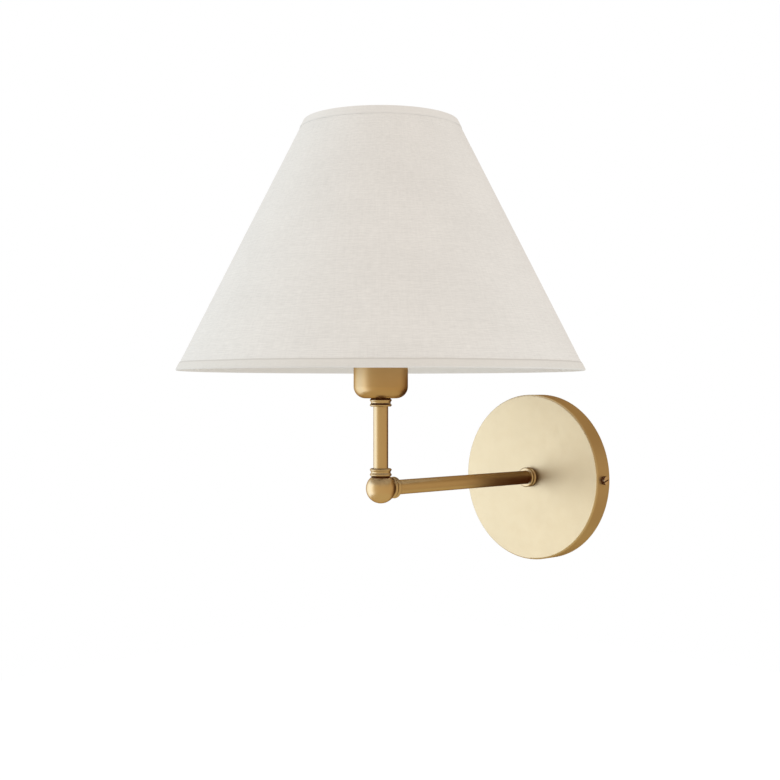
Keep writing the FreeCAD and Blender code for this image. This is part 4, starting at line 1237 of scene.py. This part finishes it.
@dataclass
class Lampholder:
    """Brass cup with the lampholder in it; its threaded skirt carries the shade ring."""

    cup_radius: float = 18.25
    cup_bottom: float = 60.5
    cup_top: float = 94.5
    cup_wall: float = 1.0
    cup_corner: float = 8.0
    cup_lip: float = 0.35
    cup_bore: float = 4.10
    skirt_bottom: float = 72.0
    skirt_radius: float = 17.1
    skirt_lap_bore: float = 16.1
    skirt_step: float = 82.1
    skirt_bore: float = 14.0
    flange_radius: float = 21.0
    flange_top: float = 97.0
    flange_edge: float = 0.5
    thread_radius: float = 18.0
    thread_top: float = 110.0
    thread_lead: float = 3.0
    thread_depth: float = 0.75
    thread_run_in: Span = (0.6, 2.0)
    thread_run_out: Span = (-1.6, -0.4)

    def cup(self) -> Surface:
        """Spun cup with a round foot and a softened lip.

        Returns:
            The cup's surface, on the stem's axis.
        """
        outer, inner = self.cup_radius, self.cup_radius - self.cup_wall
        floor = self.cup_bottom + self.cup_wall
        return turned(rounded_outline(
            (self.cup_bore, self.cup_bottom), (outer, self.cup_bottom, self.cup_corner),
            (outer, self.cup_top, self.cup_lip), (inner, self.cup_top, self.cup_lip),
            (inner, floor, self.cup_corner - self.cup_wall), (self.cup_bore, floor), steps=24),
            segments=144)

    def skirt(self) -> Surface:
        """Flanged sleeve whose upper part carries a round right-hand thread, fading at both ends.

        Returns:
            The skirt's surface, on the stem's axis.
        """
        outline = rounded_outline(
            (self.skirt_lap_bore, self.skirt_bottom), (self.skirt_radius, self.skirt_bottom),
            (self.skirt_radius, self.cup_top), (self.flange_radius, self.cup_top, self.flange_edge),
            (self.flange_radius, self.flange_top, self.flange_edge),
            (self.thread_radius, self.flange_top), (self.thread_radius, self.thread_top, 0.8),
            (self.skirt_bore, self.thread_top, 0.4), (self.skirt_bore, self.skirt_step),
            (self.skirt_lap_bore, self.skirt_step))

        def relief(angle: Array, radius: Array, height: Array) -> Pair:
            """Cuts the thread into the upper part's outside.

            Args:
                angle: Angles about the axis.
                radius: Radii before the change.
                height: Heights before the change.

            Returns:
                The changed radii and heights.
            """
            reach = plateau(self.flange_top, self.thread_run_in, self.thread_top,
                            self.thread_run_out, height)
            root = self.thread_depth * (1.0 - helix_wave(angle, height, self.thread_lead))
            outside = radius > (self.skirt_bore + self.thread_radius) / 2
            return radius - root * reach * outside, height

        return turned(subdivided(outline, self.thread_lead / 12), segments=144, relief=relief)

    def build(self) -> None:
        """Builds the cup and skirt and dresses the lampholder's inner pieces."""
        put_in("spun_cup", self.cup().on_stem(), "fixture", BRASS_CUP_SHADED,
               ["socket_cup"])
        put_in("threaded_skirt", self.skirt().on_stem(), "fixture", HOLDER_PLASTIC,
               ["lampholder_skirt"])
        dress(HOLDER_PLASTIC, "lampholder_cap")
        dress(PORCELAIN, "lampholder_insert")
        dress(BARE_BRASS, "holder_pillars", "holder_screws", "screw_shell", "centre_contact")


@dataclass
class ShadeRing:
    """Ring nut with finger ribs that clamps the shade to the lampholder."""

    bottom: float = 98.7
    height: float = 8.0
    bore_radius: float = 18.05
    flange_radius: float = 23.5
    flange: float = 2.2
    collar_radius: float = 21.0
    rib_count: int = 24
    rib_radius: float = 0.7
    rib_root: float = 0.5
    rib_run_in: Span = (0.1, 0.5)
    rib_run_out: Span = (-1.3, -0.5)
    faces_per_rib: int = 20

    def surface(self) -> Surface:
        """Flanged ring with finger ribs.

        A rib of radius w stands sqrt(w^2 - s^2) proud of the collar at the distance s from its
        middle.

        Returns:
            The ring's surface, on the stem's axis.
        """
        ledge, top = self.bottom + self.flange, self.bottom + self.height
        outline = rounded_outline(
            (self.bore_radius, self.bottom, 0.3), (self.flange_radius, self.bottom, 0.4),
            (self.flange_radius, ledge, 0.6), (self.collar_radius, ledge, 0.4),
            (self.collar_radius, top, 0.7), (self.bore_radius, top, 0.5))
        step = FULL_TURN / self.rib_count

        def relief(angle: Array, radius: Array, height: Array) -> Pair:
            """Raises the ribs on the collar's outside and lets them run out below its top edge.

            Args:
                angle: Angles about the axis.
                radius: Radii before the change.
                height: Heights before the change.

            Returns:
                The changed radii and heights.
            """
            aside = ((angle + step / 2) % step - step / 2) * self.collar_radius
            rib = np.sqrt(np.clip(self.rib_radius ** 2 - aside ** 2, 0.0, None))
            reach = plateau(ledge, self.rib_run_in, top, self.rib_run_out, height)
            return radius + rib * reach * (radius > self.collar_radius - self.rib_root), height

        segments = self.faces_per_rib * self.rib_count
        return turned(subdivided(outline, longest=0.45), segments, relief=relief)

    def build(self) -> None:
        """Builds the ring on its own body."""
        put_in("ribbed_shade_ring", self.surface().on_stem(), "shade_ring", HOLDER_PLASTIC,
               ["shade_ring"], sharp_degrees=50.0)


@dataclass
class Shade:
    """Conical linen shade: a lined panel, hem tapes over the wire rings, a fitter ring, spokes."""

    bottom_radius: float = 136.4
    top_radius: float = 51.9
    bottom: float = 78.8
    height: float = 167.2
    hem: float = 0.35
    hem_width: float = 6.3
    hem_return: float = 5.0
    hem_taper: float = 1.2
    hem_cut: float = 0.6
    hem_back: float = 4.05
    hem_waves: tuple[tuple[int, float, float], ...] = (
        (9, 0.4, 1.0), (23, 2.1, 0.7), (57, 4.0, 0.5))
    hem_wander: float = 0.05
    wander_rise: Span = (2.5, 5.4)
    notch_depth: float = 3.7
    notch_width: float = 2.4
    notch_rise: Span = (0.8, 3.0)
    notch_skin: float = 0.8
    panel_depth: float = 0.40
    panel_rows: int = 49
    panel_columns: int = 240
    lining_depth: float = 0.82
    lining_gap: float = 0.01
    inner_depth: float = 1.20
    seam_width: float = 11.0
    seam_columns: int = 23
    seam_ramp: float = 4.0
    seam_cut: float = 0.06
    seam_run_in: Span = (5.9, 7.4)
    seam_run_out: Span = (-7.4, -5.9)
    fitter: Span = (18.5, 27.0)
    fitter_bottom: float = 97.1
    fitter_height: float = 1.5
    spoke_turns: tuple[float, ...] = (15.0, 135.0, 255.0)
    weld: Place = (2.0, 2.1, 1.15)
    weld_out: float = 0.3
    weld_rows: int = 13
    weld_columns: int = 25
    flat_width_metres: float = 0.598
    flat_length_metres: float = 0.285
    flat_square_metres: float = 0.1108

    @property
    def slope(self) -> float:
        """How much the radius falls for each millimetre of height."""
        return (self.bottom_radius - self.top_radius) / self.height

    @property
    def top(self) -> float:
        """Height of the upper edge."""
        return self.bottom + self.height

    @property
    def panel_ends(self) -> Span:
        """Heights of the panel's lower and upper edges, inside the hems."""
        return self.bottom + self.panel_depth, self.top - self.panel_depth

    def radius_at(self, height: Array, depth: Array) -> Array:
        """Radius at a height, a depth inside the outer face of the hems."""
        lean = math.hypot(1.0, self.slope)
        return self.bottom_radius - (height - self.bottom) * self.slope - depth * lean

    def section(self, *corners: tuple[float, ...]) -> list[tuple[float, ...]]:
        """Turns (height, depth[, rounding]) corners into (radius, height[, rounding]) corners."""
        return [(float(self.radius_at(c[0], c[1])), c[0], *c[2:]) for c in corners]

    def linen(self) -> Surface:
        """Linen cone, one closed thin shell, lapped along a straight seam.

        Columns near the seam stand at fixed distances from it and the others share the rest of the
        turn evenly. At the lap the outer face rises to the hems' level: by a ramp where one edge
        runs under, and by a step where the other is cut. The chart is the angle from the seam times
        the middle radius, and the length along the slant.

        Returns:
            The panel's surface, on the stem's axis.
        """
        low, high = self.panel_ends
        rise = np.linspace(0.0, high - low, self.panel_rows)
        height = np.concatenate([low + rise, high - rise, [low]])[:, None]
        outer = np.repeat([True, False, True], [len(rise), len(rise), 1])[:, None]
        half = self.seam_width / 2
        near = np.append(np.linspace(-half, half, self.seam_columns), half + self.seam_cut)[None, :]
        far = np.linspace(0.0, 1.0, self.panel_columns + 1)[None, 1:]
        radius = self.radius_at(height, self.panel_depth)
        start, stop = near[0, -1] / radius, FULL_TURN - half / radius
        angle = np.concatenate([near / radius, start + (stop - start) * far], axis=1)
        beyond = np.full((len(height), self.panel_columns), 2 * self.seam_width)
        aside = np.concatenate([near + 0.0 * height, beyond], axis=1)
        lap = smooth_step(-half, -half + self.seam_ramp, aside) * (aside <= half)
        clear = plateau(self.bottom, self.seam_run_in, self.top, self.seam_run_out, height)
        depth = np.where(outer, self.panel_depth * (1.0 - lap * clear), self.lining_depth)
        spread = self.radius_at(height, depth)
        turn = angle + math.radians(SEAM_TURN)
        level = height + 0.0 * angle
        points = np.stack([spread * np.cos(turn), spread * np.sin(turn), level], axis=-1)
        middle = (self.bottom_radius + self.top_radius) / 2
        slant = (level - self.bottom) * math.hypot(1.0, self.slope)
        return grid_surface(points, np.stack([angle * middle, slant], axis=-1) * MM)

    def lining(self) -> Surface:
        """Smooth cone behind the linen, turned.

        Returns:
            The lining's surface, on the stem's axis.
        """
        low, high = self.panel_ends
        face, back = self.lining_depth + self.lining_gap, self.inner_depth
        corners = self.section((low, face), (high, face), (high, back), (low, back))
        return turned(subdivided(rounded_outline(*corners), longest=12.0), segments=192)

    def hem_tape(self, edge: float, inward: float) -> Surface:
        """Tape folded over an edge and its wire ring.

        Outside, the cut edge wanders by the sum of three sines of the angle; inside the lower hem
        it dips by exp(-(s / notch width)^2) at the distance s from a spoke.

        Args:
            edge: Height of the shade's edge.
            inward: 1 at the lower edge, -1 at the upper edge.

        Returns:
            The tape's surface, on the stem's axis.
        """
        outer = edge + inward * self.hem_width / math.hypot(1.0, self.slope)
        inner, fold = edge + inward * self.hem_return, edge + inward * self.hem
        back = self.hem_back - self.hem
        corners = self.section(
            (outer, self.hem * self.hem_cut, 0.06), (outer - inward * self.hem_taper, 0.0),
            (edge, 0.0, 0.8), (edge, self.hem_back, 1.5), (inner, self.hem_back, 0.12),
            (inner, back, 0.12), (fold, back, 1.1), (fold, self.hem, 0.4), (outer, self.hem, 0.06))
        spokes = np.radians(np.array(self.spoke_turns))[:, None, None]

        def relief(angle: Array, radius: Array, height: Array) -> Pair:
            """Moves the cut edges outside and inside.

            Args:
                angle: Angles about the axis.
                radius: Radii before the change.
                height: Heights before the change.

            Returns:
                The changed radii and heights.
            """
            wave = sum(size * np.sin(count * angle + phase)
                       for count, phase, size in self.hem_waves)
            rise = (height - edge) * inward
            aside = ((angle - spokes + math.pi) % FULL_TURN - math.pi) * self.bottom_radius
            notch = np.exp(-(aside / self.notch_width) ** 2).sum(axis=0) * self.notch_depth
            skin = self.radius_at(height, self.hem_back - self.notch_skin)
            inside = (radius < skin) & (inward > 0)
            moved = (self.hem_wander * wave * smooth_step(*self.wander_rise, rise)
                     - notch * inside * smooth_step(*self.notch_rise, rise))
            return radius, height + inward * moved

        outline = subdivided(rounded_outline(*corners), longest=0.6)
        return turned(outline, segments=480, relief=relief)

    def fitter_ring(self) -> Surface:
        """Flat pressed ring with rounded edges.

        Returns:
            The ring's surface, on the stem's axis.
        """
        low, high = self.fitter_bottom, self.fitter_bottom + self.fitter_height
        inner, outer = self.fitter
        return turned(rounded_outline((inner, low, 0.3), (outer, low, 0.6), (outer, high, 0.6),
                                      (inner, high, 0.3)), segments=120)

    def welds(self) -> Surface:
        """Beads of weld: an ellipsoid at each spoke on the fitter ring's edge.

        Returns:
            The beads' surface, on the stem's axis.
        """
        across, about = np.meshgrid(np.linspace(0.0, math.pi, self.weld_rows),
                                    np.linspace(0.0, FULL_TURN, self.weld_columns), indexing="ij")
        ball = np.stack([np.sin(across) * np.cos(about), np.sin(across) * np.sin(about),
                         np.cos(across)], axis=-1)
        bead = grid_surface(ball * self.weld)
        turn = np.radians(np.array(self.spoke_turns))[:, None]
        out, side = self.fitter[1] + self.weld_out + bead.points[:, 0], bead.points[:, 1]
        level = self.fitter_bottom + self.fitter_height / 2 + bead.points[:, 2] + 0.0 * turn
        points = np.stack([out * np.cos(turn) - side * np.sin(turn),
                           out * np.sin(turn) + side * np.cos(turn), level], axis=-1)
        first = np.arange(len(self.spoke_turns))[:, None, None] * len(bead.points)
        return Surface(points.reshape(-1, 3), (bead.faces + first).reshape(-1, 4))

    def build(self) -> None:
        def cloth(name: str, surface: Surface, finish: Finish,
                  nodes: Sequence[str]) -> bpy.types.Object:
            """Puts a piece of the shade on the stem's axis and on the shade's body."""
            return put_in(name, surface.on_stem(), "shade", finish, nodes)

        panel = cloth("linen_panel", self.linen(), PANEL_LINEN, ["shade_panel"])
        lining = cloth("panel_lining", self.lining(), LINING, [])
        lower = cloth("bottom_hem_tape", self.hem_tape(self.bottom, 1.0), HEM_LINEN,
                      ["bottom_hem"])
        upper = cloth("top_hem_tape", self.hem_tape(self.top, -1.0), TOP_HEM_LINEN,
                      ["top_hem"])
        cloth("pressed_fitter_ring", self.fitter_ring(), ENAMEL, ["fitter_ring"])
        cloth("spoke_welds", self.welds(), ENAMEL, [])
        dress(ENAMEL, "bottom_rim_wire", "top_rim_wire", "shade_spokes")


@dataclass
class Lamp:
    """Opal lamp with a rolled screw cap."""

    cap_bottom: float = 91.0
    cap_top: float = 112.0
    cap_radius: float = 13.1
    cap_wall: float = 0.4
    cap_taper: float = 2.0
    cap_taper_radius: float = 11.5
    cap_flare: float = 2.0
    cap_flare_radius: float = 14.0
    thread_top: float = 103.4
    thread_depth: float = 0.9
    thread_run_in: Span = (-0.5, 1.2)
    thread_run_out: Span = (-1.6, 0.0)
    spigot: float = 8.0
    spigot_radius: float = 12.65
    neck_radius: float = 13.4
    neck_bottom: float = 112.05
    neck_edge: float = 0.2
    bulb_radius: float = 30.0
    bulb_centre: float = 161.0
    blend_radius: float = 50.0
    blend_rows: int = 30
    bulb_rows: int = 60
    glass: float = 1.0

    def cap(self) -> Surface:
        """Rolled sheet whose inside and outside follow one round thread, fading towards the glass.

        Returns:
            The cap's surface, on the stem's axis.
        """
        start = self.cap_bottom + self.cap_taper
        outer = [(self.cap_taper_radius, self.cap_bottom), (self.cap_radius, start, 1.0),
                 (self.cap_radius, self.cap_top - self.cap_flare, 1.5),
                 (self.cap_flare_radius, self.cap_top)]
        inner = [(corner[0] - self.cap_wall, *corner[1:]) for corner in reversed(outer)]

        def relief(angle: Array, radius: Array, height: Array) -> Pair:
            """Rolls the thread into the sheet.

            Args:
                angle: Angles about the axis.
                radius: Radii before the change.
                height: Heights before the change.

            Returns:
                The changed radii and heights.
            """
            reach = plateau(start, self.thread_run_in, self.thread_top, self.thread_run_out, height)
            root = self.thread_depth * (1.0 - helix_wave(angle, height, LAMP_THREAD_LEAD))
            return radius - root * reach, height

        outline = subdivided(rounded_outline(*outer, *inner), longest=0.3)
        return turned(outline, segments=120, relief=relief)

    def wall(self, inset: float) -> Array:
        """Outline of the glass from the neck to the pole, an inset inside its outer face.

        The neck is straight, a concave arc about (neck + blend radius) leaves it, and the bulb's
        circle takes over where the line between the two centres crosses both.

        Args:
            inset: Depth inside the outer face.

        Returns:
            (radius, height) points from the neck up.
        """
        offset = self.neck_radius + self.blend_radius
        drop = math.sqrt((self.bulb_radius + self.blend_radius) ** 2 - offset ** 2)
        lean = math.atan2(drop, offset)
        blend = np.linspace(0.0, lean, self.blend_rows)
        arc = self.blend_radius + inset
        neck = np.stack([offset - arc * np.cos(blend),
                         self.bulb_centre - drop + arc * np.sin(blend)], axis=-1)
        turn = np.linspace(-lean, math.pi / 2, self.bulb_rows)
        ball = (self.bulb_radius - inset) * np.stack([np.cos(turn), np.sin(turn)], axis=-1)
        return np.vstack([neck, ball[1:] + (0.0, self.bulb_centre)])

    def bulb(self) -> Surface:
        """Hollow glass: down its inner wall, round the spigot in the cap, up its outer wall.

        Returns:
            The glass's surface, on the stem's axis.
        """
        foot, shoulder = self.cap_top - self.spigot, self.neck_bottom
        inner = self.spigot_radius - self.glass
        spigot = np.array([
            (inner, shoulder), (inner, foot), (self.spigot_radius, foot),
            (self.spigot_radius, shoulder), (self.neck_radius - self.neck_edge, shoulder),
            (self.neck_radius, shoulder + self.neck_edge)])
        outline = np.vstack([self.wall(self.glass)[::-1], spigot, self.wall(0.0)])
        return turned(outline, segments=120, closed=False)

    def build(self) -> None:
        """Builds the cap and the glass and dresses the cap's end."""
        put_in("threaded_lamp_cap", self.cap().on_stem(), "lamp", ROLLED_CAP,
               ["lamp_cap"], sharp_degrees=50.0)
        put_in("opal_bulb", self.bulb().on_stem(), "lamp", OPAL, ["lamp_glass"])
        dress(BLACK_GLASS, "cap_insulator")
        dress(SOLDER, "tip_contact")


# Studio


@dataclass(frozen=True)
class SoftLight:
    """Square light that faces the lamp, by bearing from the camera and angle above level."""

    name: str
    bearing: float
    rise: float
    distance: float
    size: float
    power: float
    colour: Colour


@dataclass
class Studio:
    """Camera, soft light, pale floor and the plain tinted walls that the brass reflects."""

    camera_place: Place = (0.6075, -0.7823, 0.0661)
    camera_look: Place = (-0.70212, 0.71207, 0.0)
    lens: float = 59.06
    sensor: float = 36.0
    room_light: Colour = (0.91, 0.853, 0.803)
    soft_lights: tuple[SoftLight, ...] = (
        SoftLight("window_light", bearing=-80.0, rise=1.0, distance=1.7, size=1.3, power=7.4,
                  colour=(0.54, 0.82, 1.0)),
        SoftLight("fill_light", bearing=50.0, rise=-30.0, distance=0.75, size=0.6, power=1.15,
                  colour=(0.70, 0.88, 1.0)),
    )
    lit_place: Place = (0.0, -0.12, 0.10)
    floor_level: float = -1.2
    floor_size: float = 9.0
    floor_colour: Colour = (0.80, 0.80, 0.80)
    floor_glow: float = 0.40
    wall_radius: float = 1.6
    wall_height: Span = (-1.1, 2.4)
    wall_segments: int = 96
    wall_tones: tuple[tuple[float, Colour], ...] = (
        (-180.0, (0.24, 0.18, 0.11)), (-145.0, (0.60, 0.52, 0.42)), (-122.0, (1.42, 1.66, 2.14)),
        (-90.0, (1.42, 1.66, 2.14)), (-70.0, (1.58, 1.66, 1.80)), (-56.0, (0.92, 0.84, 0.70)),
        (-42.0, (0.71, 0.59, 0.39)), (-22.0, (0.67, 0.53, 0.33)), (0.0, (0.65, 0.51, 0.32)),
        (92.0, (0.63, 0.475, 0.28)), (112.0, (0.38, 0.24, 0.125)), (135.0, (0.25, 0.15, 0.07)),
        (165.0, (0.13, 0.08, 0.045)), (180.0, (0.24, 0.18, 0.11)),
    )
    wall_dusk: Span = (0.45, 1.10)
    dusk_level: float = 0.65
    high_tone: Colour = (0.46, 0.32, 0.165)
    second_tone: Colour = (0.085, 0.026, 0.014)
    floor_tone: Colour = (0.64, 0.53, 0.33)
    ceiling_tone: Colour = (0.75, 0.66, 0.52)

    @property
    def camera_turn(self) -> float:
        """Direction from the lamp to the camera, as an angle about the upright."""
        return math.atan2(-self.camera_look[1], -self.camera_look[0])

    def camera(self) -> None:
        """Camera at the photograph's place, level."""
        data = bpy.data.cameras.new("photo_camera")
        data.lens, data.sensor_width = self.lens, self.sensor
        camera = bpy.data.objects.new("photo_camera", data)
        camera.location = self.camera_place
        camera.rotation_euler = Vector(self.camera_look).to_track_quat("-Z", "Y").to_euler()
        bpy.context.scene.collection.objects.link(camera)
        bpy.context.scene.camera = camera

    def white_rays(self, nodes: Nodes) -> Socket:
        """1 for rays from the camera, from a reflection or through glass, 0 for lighting rays.

        Args:
            nodes: The tree that asks.

        Returns:
            The socket of the 1 or 0.
        """
        path = nodes.add("ShaderNodeLightPath").outputs
        seen = nodes.math("MAXIMUM", path["Is Camera Ray"], path["Is Glossy Ray"])
        return nodes.math("MAXIMUM", seen, path["Is Transmission Ray"])

    def world(self) -> None:
        """White to the eye and in reflections, soft warm white as light."""
        world = bpy.data.worlds.new("studio")
        nodes = Nodes(world)
        light = nodes.add("ShaderNodeBackground", {"Color": self.room_light}).outputs[0]
        white = nodes.add("ShaderNodeBackground", {"Color": WHITE}).outputs[0]
        both = nodes.add("ShaderNodeMixShader", {0: self.white_rays(nodes), 1: light, 2: white})
        nodes.add("ShaderNodeOutputWorld", {"Surface": both.outputs[0]})
        bpy.context.scene.world = world

    def shine(self, soft: SoftLight) -> None:
        """Puts up a soft light that neither the camera nor a reflection sees.

        Args:
            soft: The light's place, size, power and colour.
        """
        turn, tilt = self.camera_turn + math.radians(soft.bearing), math.radians(soft.rise)
        away = Vector((math.cos(turn) * math.cos(tilt), math.sin(turn) * math.cos(tilt),
                       math.sin(tilt)))
        data = bpy.data.lights.new(soft.name, "AREA")
        data.shape, data.size = "SQUARE", soft.size
        data.energy, data.color = soft.power, soft.colour
        light = bpy.data.objects.new(soft.name, data)
        light.location = Vector(self.lit_place) + away * soft.distance
        light.rotation_euler = away.to_track_quat("Z", "Y").to_euler()
        light.visible_glossy = light.visible_camera = False
        bpy.context.scene.collection.objects.link(light)

    def stand(self, name: str, surface: Surface, material: bpy.types.Material) -> bpy.types.Object:
        """Puts a piece of the studio in place.

        Args:
            name: The piece's name.
            surface: Its surface.
            material: Its material.

        Returns:
            The piece.
        """
        mesh = make_mesh(name, surface, sharp_degrees=180.0)
        mesh.materials.append(material)
        piece = bpy.data.objects.new(name, mesh)
        bpy.context.scene.collection.objects.link(piece)
        return piece

    def floor(self) -> None:
        """Pale floor, white where nothing shades it."""
        material = bpy.data.materials.new("pale_floor")
        nodes = Nodes(material)
        matt = nodes.add("ShaderNodeBsdfDiffuse", {"Color": self.floor_colour}).outputs[0]
        level = nodes.math("MULTIPLY", self.white_rays(nodes), self.floor_glow)
        glow = nodes.add("ShaderNodeEmission", {"Strength": level}).outputs[0]
        both = nodes.add("ShaderNodeAddShader", {0: matt, 1: glow})
        nodes.add("ShaderNodeOutputMaterial", {"Surface": both.outputs[0]})
        half, low = self.floor_size / 2 / MM, self.floor_level / MM
        corners = np.array([(-half, -half, low), (half, -half, low), (half, half, low),
                            (-half, half, low)])
        self.stand("floor", Surface(corners, np.array([[0, 1, 2, 3]])), material)

    def wall_tint(self, nodes: Nodes) -> Socket:
        """Tone by bearing from the camera, dusky above and nowhere darker than one tone high up.

        Args:
            nodes: The walls' tree.

        Returns:
            The socket of the tone.
        """
        bearing, height, _ = nodes.split(nodes.chart())
        tones = nodes.add("ShaderNodeValToRGB", {0: bearing})
        stops = tones.color_ramp.elements
        while len(stops) < len(self.wall_tones):
            stops.new(0.5)
        for stop, (degrees, colour) in zip(stops, self.wall_tones):
            stop.position, stop.color = degrees / 360.0 + 0.5, (*colour, 1.0)
        dusk = nodes.fit(height, *self.wall_dusk, 1.0, self.dusk_level)
        dusky = nodes.add("ShaderNodeVectorMath", {0: tones.outputs[0], "Scale": dusk},
                          operation="SCALE")
        high = nodes.fit(height, *self.wall_dusk, 0.0, 1.0)
        return nodes.mix(high, dusky.outputs[0], self.high_tone, "LIGHTEN")

    def tinted(self, name: str,
               tint: Union[Colour, Callable[[Nodes], Socket]]) -> bpy.types.Material:
        """Glowing material that a reflection of a reflection sees in one dusky tone.

        Args:
            name: The material's name.
            tint: Its colour, or what makes its colour from nodes.

        Returns:
            The material.
        """
        material = bpy.data.materials.new(name)
        nodes = Nodes(material)
        colour = tint(nodes) if callable(tint) else tint
        depth = nodes.add("ShaderNodeLightPath").outputs["Glossy Depth"]
        seen = nodes.mix(nodes.fit(depth, 1.0, 2.0, 0.0, 1.0), colour, self.second_tone)
        glow = nodes.add("ShaderNodeEmission", {"Color": seen}).outputs[0]
        nodes.add("ShaderNodeOutputMaterial", {"Surface": glow})
        material.cycles.emission_sampling = "NONE"
        return material

    def reflected_room(self) -> None:
        """Round wall, floor card and ceiling card that only reflections see.

        The wall is a cylinder: its chart is the bearing from the camera as a share of a turn, and
        the height. The cards are the cylinder's end circles joined to their centres.
        """
        share = np.linspace(0.0, 1.0, self.wall_segments + 1)[None, :]
        turn = self.camera_turn + (share - 0.5) * FULL_TURN
        height = np.array(self.wall_height)[:, None] + 0.0 * turn
        flat = np.ones_like(height) * self.wall_radius
        points = np.stack([flat * np.cos(turn), flat * np.sin(turn), height], axis=-1) / MM
        wall = grid_surface(points, np.stack([share + 0.0 * height, height], axis=-1))
        pieces = [self.stand("tinted_wall", wall, self.tinted("tinted_walls", self.wall_tint))]
        cards = (("floor_card", self.floor_tone), ("ceiling_card", self.ceiling_tone))
        for (name, tone), rim in zip(cards, points):
            disc = grid_surface(np.stack([rim, rim * (0.0, 0.0, 1.0)]))
            pieces.append(self.stand(name, disc, self.tinted(name, tone)))
        for piece in pieces:
            piece.visible_camera = piece.visible_diffuse = piece.visible_shadow = False
            piece.visible_transmission = piece.visible_volume_scatter = False

    def build(self) -> None:
        """Sets up the view and the light."""
        bpy.context.scene.view_settings.view_transform = "Standard"
        self.camera()
        self.world()
        for soft in self.soft_lights:
            self.shine(soft)
        self.floor()
        self.reflected_room()
        log.info("studio: camera, two soft lights, floor and reflected walls")


def main() -> None:
    """Builds and dresses the lamp piece by piece, then the studio."""
    logging.basicConfig(level=logging.INFO, format="%(name)s %(message)s")
    for assembly in (WallFixing(), ArmAndStem(), Lampholder(), Shade(), ShadeRing(), Lamp(),
                     Studio()):
        assembly.build()


if __name__ == "__main__":
    main()
